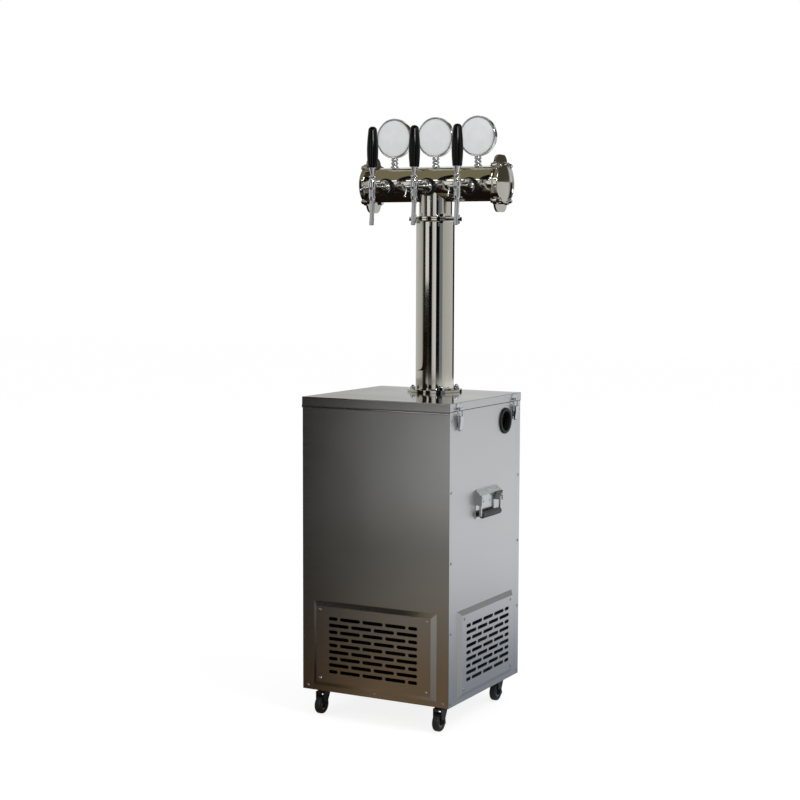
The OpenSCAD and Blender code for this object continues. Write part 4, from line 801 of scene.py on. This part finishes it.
class COOLER_OT_tower(bpy.types.Operator):
    """Turns the column, the tee with its end flanges, and the end caps"""

    bl_idname = "cooler.tower"
    bl_label = "Tower"

    def execute(self, context):
        wear("chrome", "tower_bolts")
        self.turn_column()
        self.turn_tee(context.scene.cooler_sizes)
        self.turn_caps()
        return {"FINISHED"}

    def turn_column(self):
        """A tube between two flanges, with the small welds at its ends dressed smooth."""
        top = (COLUMN_HIGH.z - COLUMN_LOW.z) / MM
        column = turned("column_tube", (
            (49, 0), (72.2, 0), (73, 0.8), (73, 6.2), (72.2, 7), (54, 7), (52, 8), (51, 10),
            (51, top - 8.5), (52, top - 6.5), (54, top - 5.5), (69.2, top - 5.5), (70, top - 4.7),
            (70, top - 0.8), (69.2, top), (49, top), (49, 0)), segments=96)
        placed(column, (TOWER_X, TOWER_Y, COLUMN_LOW.z))
        seat(soften(column), "cabinet", "tower", "polished_stainless", "tower_column")

    def turn_tee(self, sizes):
        """The level tube on its stub, both hollow, with a flange at each of their three ends."""
        axis = (TEE_AXIS - TEE_LOW.z) / MM
        half = (TEE_HIGH.x - TEE_LOW.x) / 2 / MM
        middle = Vector((TOWER_X, TOWER_Y, TEE_AXIS))
        along = (0, math.pi / 2, 0)
        tube_in, stub_in = TUBE_R - TUBE_WALL, STUB_R - TUBE_WALL
        stub = turned("tee_stub", (
            (stub_in, 0), (69.2, 0), (70, 0.8), (70, 4.7), (69.2, 5.5), (47, 5.5), (45, 6.5), (STUB_R, 8.5),
            (STUB_R, axis), (stub_in, axis), (stub_in, 0)), segments=96)
        placed(stub, (TOWER_X, TOWER_Y, TEE_LOW.z))
        # The stub ends in the middle of the tube's wall
        saddle_r = TUBE_R - TUBE_WALL / 2
        saddle = turned("saddle", ((saddle_r, -60), (saddle_r, 60)), segments=100)
        fused(stub, placed(saddle, middle, along), "DIFFERENCE")
        tube = turned("tee_level", (
            (tube_in, -half), (TUBE_R, -half), (TUBE_R, half), (tube_in, half), (tube_in, -half),
        ), segments=96)
        placed(tube, middle, along)
        bore = turned("stub_bore", ((stub_in, -50), (stub_in, 0)), segments=100)
        fused(tube, placed(bore, middle), "DIFFERENCE")
        flange = placed(self.end_flange(sizes), turn=(math.pi / 2, 0, math.pi / 2))
        shells = [stub, tube]
        for turn, side in ((0, 1), (math.pi, -1)):
            spot = middle + Vector((side * (half - FLANGE_T) * MM, 0, 0))
            shells.append(copied(flange, "end_flange", spot, (0, 0, turn)))
        drop(flange)
        tee = soften(joined("tee_tube", *shells))
        level, upright = Vector((1, 0, 0)), Vector((0, 0, 1))
        rounded_true(tee, (middle, level, TUBE_R * MM), (middle, level, tube_in * MM),
            (middle, upright, STUB_R * MM), (middle, upright, stub_in * MM))
        seat(tee, "cabinet", "tower", "polished_stainless", "tower_tee")

    def end_flange(self, sizes):
        """A disc with a tapered, rounded ear above and below and a lug at each bolt."""
        flange = turned("end_flange", (
            (59.3, 0), (60, 0.7), (60, FLANGE_T - 0.7), (59.3, FLANGE_T)), segments=96)
        thick = FLANGE_T * MM
        length, place, widening = 44 * MM, 52 * MM, 1.45
        for turn in (0, math.pi):
            ear = block("ear", (sizes.ear_width, length, thick), (0, place, thick / 2))
            pick(ear, "FACE", lambda face, corners: face.normal.y < -STEEP)
            bpy.ops.transform.resize(
                value=(widening, 1, 1), center_override=(0, place - length / 2, thick / 2))
            pick(ear, "EDGE", lambda edge, ends: min(end.y for end in ends) > place
                and abs(ends[0].z - ends[1].z) > thick / 2)
            bpy.ops.mesh.bevel(offset=sizes.ear_round, segments=8)
            fused(flange, placed(ear, turn=(0, 0, turn)))
        self.fuse_at_bolts(flange, "lug", ((LUG_R, 0), (LUG_R, FLANGE_T)))
        self.fuse_at_bolts(flange, "hole", ((BOLT_HOLE_R, -1), (BOLT_HOLE_R, FLANGE_T + 1)), "DIFFERENCE", 24)
        # The flange sits on the tube, a little way into its wall
        seat_r = TUBE_R - TUBE_WALL / 4
        seat_hole = turned("seat_hole", ((seat_r, -1), (seat_r, FLANGE_T + 1)), segments=100)
        return fused(flange, seat_hole, "DIFFERENCE")

    def fuse_at_bolts(self, piece, name, profile, operation="UNION", segments=32):
        """Unites a round shape with a piece at each bolt of an end flange, or cuts it out."""
        for x, y in END_BOLTS:
            fused(piece, placed(turned(name, profile, segments), (x * MM, y * MM, 0)), operation)

    def turn_caps(self):
        """A stepped cap on each end, with lugs and pockets for its four nuts."""
        cap = turned("end_cap", (
            (54, 0), (54, 10), (53.6, 11.2), (52.6, 12.4), (51, 13), (48.8, 13), (48, 12.4), (47, 11.4),
            (45.5, 11.4), (44, 11.9), (38, 12.9), (30, 13.8), (20, 14.5), (10, 14.9), (0, 15)), segments=96)
        lug_t, pocket_r = 5, 8.2
        self.fuse_at_bolts(cap, "lug", ((LUG_R, 0), (LUG_R, lug_t - 0.4), (LUG_R - 0.4, lug_t)))
        self.fuse_at_bolts(cap, "pocket", (
            (BOLT_HOLE_R, -1), (BOLT_HOLE_R, lug_t), (pocket_r, lug_t), (pocket_r, 20)), "DIFFERENCE")
        placed(cap, turn=(math.pi / 2, 0, math.pi / 2))
        left = copied(cap, "end_cap_left", (TEE_LOW.x, TOWER_Y, TEE_AXIS), (0, 0, math.pi))
        placed(cap, (TEE_HIGH.x, TOWER_Y, TEE_AXIS))
        caps = joined("end_caps", cap, left)
        seat(soften(caps), "cabinet", "tower", "polished_stainless", "tee_end_caps")


class COOLER_OT_taps(bpy.types.Operator):
    """Turns the taps, their levers and their handles"""

    bl_idname = "cooler.taps"
    bl_label = "Taps"

    def execute(self, context):
        wear("rubber", "tap_gaskets")
        body = self.turn_body(context.scene.cooler_sizes)
        lever = self.turn_lever()
        handle = self.turn_handle()
        bodies = []
        for tap in TAPS:
            wear("chrome", f"flow_lever_{tap}")
            place = centre(f"tap_handle_{tap}")
            spot = (place.x, place.y, TEE_AXIS)
            bodies.append(copied(body, f"tap_body_{tap}", spot))
            for pattern, name, finish, slot in (
                (lever, "lever", "chrome", "chrome_plate"),
                (handle, "handle", "handle", "black_handle"),
            ):
                seat(copied(pattern, f"{name}_{tap}", spot), f"tap_{tap}", finish, slot, f"tap_{name}_{tap}")
        drop(body, lever, handle)
        seat(joined("tap_castings", *bodies), "cabinet", "chrome", "chrome_plate", "tap_bodies")
        return {"FINISHED"}

    def turn_body(self, sizes):
        """Shank with its stepped collar, body with the lever's socket, leaning spout and flow boss."""
        reach = (TOWER_Y - centre("tap_handle_middle").y) / MM
        shank_z, boss_z, spout_z = -8 * MM, -11 * MM, -46 * MM
        shank = turned("shank", (
            (9, 24), (9, 50.9), (17.3, 51), (18.5, 52), (18.5, 57), (17.7, 57.7), (17.7, 58.9), (18.5, 59.6),
            (18.5, 62), (17.6, 63.3), (15.6, 66), (13.8, 70), (12.4, 75), (11.5, 80), (10.8, 85), (10.5, 90),
            (10.5, reach - 4)))
        placed(shank, (0, reach * MM, shank_z), (math.pi / 2, 0, 0))
        upright = turned("upright", (
            (5.6, -47), (7.2, -45.4), (8.4, -42), (9, -38), (9.4, -32), (9.4, -25.2), (8.8, -24.6),
            (8.8, -23.4), (9.4, -22.8), (9.4, -16), (10.2, -14), (11.4, -12), (12, -10.6), (12, 0.4),
            (11.4, 1.6), (10.4, 3.4), (10.2, 4.2), (10.2, 6.4), (9.7, 7.6), (8.5, 10), (7.58, 10),
            (7.3, 7.8), (6.4, 5.9), (5, 4.2), (3, 3), (0, 2.4)))
        bore, length = 4.8, 63 / math.cos(sizes.spout_lean)
        spout = turned("spout", (
            (bore, -length), (5.7, -length), (6, 0.4 - length), (6, -8.4), (6.7, -5), (7.2, -1.6), (7.2, 1),
            (6.6, 3.4), (5.6, 5), (bore, 5), (bore, -length)), segments=48)
        placed(spout, (0, 0, spout_z), (-sizes.spout_lean, 0, 0))
        boss = turned("boss", ((6.4, 4), (6.4, 17.2), (5.8, 18), (3.2, 18), (3.2, 11)), segments=32)
        placed(boss, (0, 0, boss_z), (0, -math.pi / 2, 0))
        return soften(joined("tap_pattern", upright, shank, spout, boss))

    def turn_lever(self):
        """Ball in the socket, ringed neck and flared ferrule, with the stud that the handle screws on."""
        return soften(turned("lever_pattern", (
            (1, 2.6), (3.8, 3.55), (5.4, 4.8), (6.7, 6.65), (7.35, 8.6), (7.5, 10), (7.3, 11.7), (6.6, 13.4),
            (5.6, 14.4), (8.9, 14.6), (9.4, 15.2), (9.4, 18.3), (8.9, 19), (5.6, 19.8), (5.2, 21),
            (5.2, 22.6), (5.6, 24), (6.9, 30), (8.6, 37), (9.2, 39), (9.2, 40), (4, 40), (4, 61.7),
        ), segments=48))

    def turn_handle(self):
        """A handle that swells, narrows to its neck and ends in a dome, bored for the stud."""
        foot, neck, most, low, tall, dome = 12.4, 11.4, 15, 40, 107, 10
        bore, bore_depth, swell = 4.1, 22.3, 0.42 * tall
        steps, dome_steps = 12, 9
        outline = [(bore, low + bore_depth), (bore, low), (foot - 0.7, low)]
        for step in range(steps + 1):
            share = step / steps
            lift = 0.6 * (step == 0)
            outline.append((foot + (most - foot) * math.sin(share * math.pi / 2), low + lift + swell * share))
        for step in range(1, steps + 1):
            share = step / steps
            outline.append((neck + (most - neck) * math.cos(share * math.pi / 2),
                low + swell + (tall - swell - dome) * share))
        for step in range(1, dome_steps):
            angle = step / dome_steps * math.pi / 2
            outline.append((neck * math.cos(angle), low + tall - dome * (1 - math.sin(angle))))
        outline.append((0, low + tall))
        return soften(turned("handle_pattern", outline))


class COOLER_OT_medallions(bpy.types.Operator):
    """Turns the medallions' frames, stems and plain discs"""

    bl_idname = "cooler.medallions"
    bl_label = "Medallions"

    def execute(self, context):
        ring = turned("ring_pattern", (
            (0.5, -6.6), (47.7, -6.6), (48, -7.4), (48.7, -8), (50.6, -8), (51.9, -7.3), (52.5, -6),
            (52.5, 6), (52, 7.2), (50.9, 8), (49.7, 8), (48.7, 7.6), (48.1, 6.8), (48, 4.1), (0.5, 4.1),
        ), segments=96)
        stem = turned("stem_pattern", (
            (10.5, 42), (10.5, 48.6), (10, 49.6), (8.2, 50.8), (7, 51.8), (7, 53.6), (8.4, 54.4), (9.4, 55.2),
            (9.6, 56.2), (9.6, 58.6), (9.2, 59.6), (8.2, 60.4), (7, 61.2), (7, 62.8), (8.4, 63.6),
            (9.4, 64.4), (9.6, 65.2), (9.6, 67.6), (9.2, 68.6), (8.2, 70), (8, 71), (8, 74)), segments=48)
        # The stem's foot follows the tee's tube, a hair clear of it
        saddle_r = TUBE_R + 0.06
        saddle = turned("saddle", ((saddle_r, -40), (saddle_r, 40)), segments=96)
        fused(stem, placed(saddle, turn=(0, math.pi / 2, 0)), "DIFFERENCE")
        disc = turned("disc_pattern", (
            (47.4, 4.15), (47.7, 4.5), (47.7, 5.6), (47.2, 6.2), (44, 6.4), (30, 6.54), (12, 6.6),
            (0, 6.6)), segments=96)
        height = 123 * MM
        for pattern in (ring, disc):
            placed(pattern, (0, 0, height), (math.pi / 2, 0, 0))
        frame_pattern = soften(joined("frame_pattern", ring, stem))
        soften(disc)
        frames, discs = [], []
        for tap in TAPS:
            spot = (centre(f"tap_handle_{tap}").x, TOWER_Y, TEE_AXIS)
            frames.append(copied(frame_pattern, f"medallion_frame_{tap}", spot))
            discs.append(copied(disc, f"medallion_disc_{tap}", spot))
        drop(frame_pattern, disc)
        seat(joined("medallion_rims", *frames), "cabinet", "chrome", "chrome_plate", "medallion_frames")
        seat(joined("medallion_faces", *discs), "cabinet", "disc", "white_disc", "medallion_discs")
        return {"FINISHED"}


class COOLER_OT_fittings(bpy.types.Operator):
    """Finishes the latches and carry handles, presses the latch levers and turns the ribbed grips"""

    bl_idname = "cooler.fittings"
    bl_label = "Latches and Handles"

    def execute(self, context):
        wear("bright", "latch_plates", "handle_plates")
        ease(0.4 * MM, "latch_plates", "handle_plates")
        for latch in LATCHES:
            wear("bright", f"latch_bail_{latch}")
        self.press_levers()
        self.turn_grips()
        return {"FINISHED"}

    def turn_grips(self):
        """The carry handles' grips: a sleeve of rounded ribs on each bail."""
        low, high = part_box("carry_grip_right")
        bore, length, ribs = 3.86, (high.y - low.y) / MM, 12
        rib = length / ribs
        outline = [(bore, 0)]
        for index in range(ribs):
            for radius, share in ((7.6, 0), (8.2, 0.16), (8.5, 0.34), (8.5, 0.66), (8.2, 0.84)):
                outline.append((radius, (index + share) * rib))
        outline += [(7.6, length), (bore, length), (bore, 0)]
        grip = soften(turned("grip_pattern", outline, segments=48))
        for side in SIDES:
            wear("bright", f"carry_handle_{side}")
            low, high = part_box(f"carry_grip_{side}")
            spot = ((low.x + high.x) / 2, low.y, (low.z + high.z) / 2)
            twin = copied(grip, f"grip_{side}", spot, (-math.pi / 2, 0, 0))
            seat(twin, f"carry_{side}", "grip", "grip_rubber", f"carry_grip_{side}")
        drop(grip)

    def press_levers(self):
        """The latch levers: a channel of sheet with flanks, tapered to a finger lip."""
        low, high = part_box("latch_lever_right_front")
        middle, back, top = (low.y + high.y) / 2, low.x, high.z
        wide, deep, straight, sheet = 18.5 * MM, 8.6 * MM, 15 * MM, 1.2 * MM
        lip_out, lip_down, narrowing = 1.6 * MM, 1.4 * MM, (0.45, 0.54, 1)
        lever = block("lever_pattern", (deep, wide, straight), (back + deep / 2, middle, top - straight / 2))
        pick(lever, "FACE", lambda face, corners: face.normal.z < -STEEP)
        taper = top - straight - low.z - lip_down
        bpy.ops.mesh.extrude_region_move(TRANSFORM_OT_translate={"value": (0, 0, -taper)})
        bpy.ops.transform.resize(value=narrowing, center_override=(back, middle, low.z))
        bpy.ops.mesh.extrude_region_move(TRANSFORM_OT_translate={"value": (lip_out, 0, -lip_down)})
        # The channel is open at its back, its top and above its lip
        pick(lever, "FACE", lambda face, corners: face.normal.z > STEEP or face.normal.x < -STEEP)
        bpy.ops.mesh.delete(type="FACE")
        modified(lever, "SOLIDIFY", thickness=sheet)
        soften(lever, 0.45 * MM, 3)
        # Half a turn about the cabinet's middle takes a lever from the right side to the left
        placed(lever, (0, -middle, 0))
        for latch in LATCHES:
            low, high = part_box(f"latch_lever_{latch}")
            turn = 0 if "right" in latch else math.pi
            twin = copied(lever, f"lever_{latch}", (0, (low.y + high.y) / 2, 0), (0, 0, turn))
            seat(twin, f"latch_{latch}", "bright", "zinc_steel", f"latch_lever_{latch}")
        drop(lever)


class COOLER_OT_casters(bpy.types.Operator):
    """Finishes the casters' forks and turns their wheels"""

    bl_idname = "cooler.casters"
    bl_label = "Casters"

    def execute(self, context):
        wear("paint", "caster_plates")
        low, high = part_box("caster_wheel_front_right")
        axle, hub, tread, edge = 3.06, (high.x - low.x) / 2 / MM, 8.5, (high.z - low.z) / 2 / MM
        half = [(8.6, hub), (9, hub - 0.4), (9, tread - 2), (13.6, tread - 2), (14.4, tread - 1.6),
            (15, tread - 0.3), (15.6, tread), (edge - 3.4, tread), (edge - 1.8, tread - 0.7),
            (edge - 0.6, tread - 2.2), (edge, tread - 4)]
        outline = [(axle, -hub)] + [(radius, -place) for radius, place in half]
        outline += list(reversed(half)) + [(axle, hub), (axle, -hub)]
        wheel = soften(turned("wheel_pattern", outline))
        foot = tread - 1.98
        ring_half = ((10, foot), (13.2, foot), (13.2, tread - 1.2), (12.7, tread - 0.9), (10.5, tread - 0.9),
            (10, tread - 1.2), (10, foot))
        rings = [turned("ring", [(radius, side * place) for radius, place in ring_half], segments=48)
            for side in (1, -1)]
        ring = soften(joined("wheel_ring_pattern", *rings))
        for corner in CORNERS:
            wear("paint", f"caster_fork_{corner}")
            ease(0.5 * MM, f"caster_fork_{corner}")
            spot = centre(f"caster_wheel_{corner}")
            turn = (0, math.pi / 2, 0)
            seat(copied(wheel, f"wheel_{corner}", spot, turn), f"wheel_{corner}", "plastic", "caster_tread",
                f"caster_wheel_{corner}")
            seat(copied(ring, f"wheel_ring_{corner}", spot, turn), f"wheel_{corner}", "zinc", "zinc_steel")
        drop(wheel, ring)
        return {"FINISHED"}


class COOLER_PT_panel(bpy.types.Panel):
    """Lists the cooler's steps"""

    bl_label = "Draft Beer Cooler"
    bl_idname = "COOLER_PT_panel"
    bl_space_type = "VIEW_3D"
    bl_region_type = "UI"
    bl_category = "Cooler"

    def draw(self, context):
        for step in STEPS:
            self.layout.operator(step.bl_idname)
        for group in (context.scene.cooler_sizes, context.scene.cooler_colours):
            for name in group.__annotations__:
                self.layout.prop(group, name)


STEPS = (
    COOLER_OT_stage,
    COOLER_OT_cabinet,
    COOLER_OT_machine,
    COOLER_OT_tower,
    COOLER_OT_taps,
    COOLER_OT_medallions,
    COOLER_OT_fittings,
    COOLER_OT_casters,
)
CLASSES = (CoolerSizes, CoolerColours) + STEPS + (COOLER_PT_panel,)


def register():
    """Registers the classes and the scene's sizes and colours."""
    for cls in CLASSES:
        bpy.utils.register_class(cls)
    bpy.types.Scene.cooler_sizes = bpy.props.PointerProperty(type=CoolerSizes)
    bpy.types.Scene.cooler_colours = bpy.props.PointerProperty(type=CoolerColours)


def unregister():
    """Removes what register adds."""
    del bpy.types.Scene.cooler_colours
    del bpy.types.Scene.cooler_sizes
    for cls in reversed(CLASSES):
        bpy.utils.unregister_class(cls)


def main():
    """Makes the stage and the pieces in order."""
    register()
    make_finishes(bpy.context.scene)
    bpy.ops.cooler.stage()
    bpy.ops.cooler.cabinet()
    bpy.ops.cooler.machine()
    bpy.ops.cooler.tower()
    bpy.ops.cooler.taps()
    bpy.ops.cooler.medallions()
    bpy.ops.cooler.fittings()
    bpy.ops.cooler.casters()
    let_go()


if __name__ == "__main__":
    main()
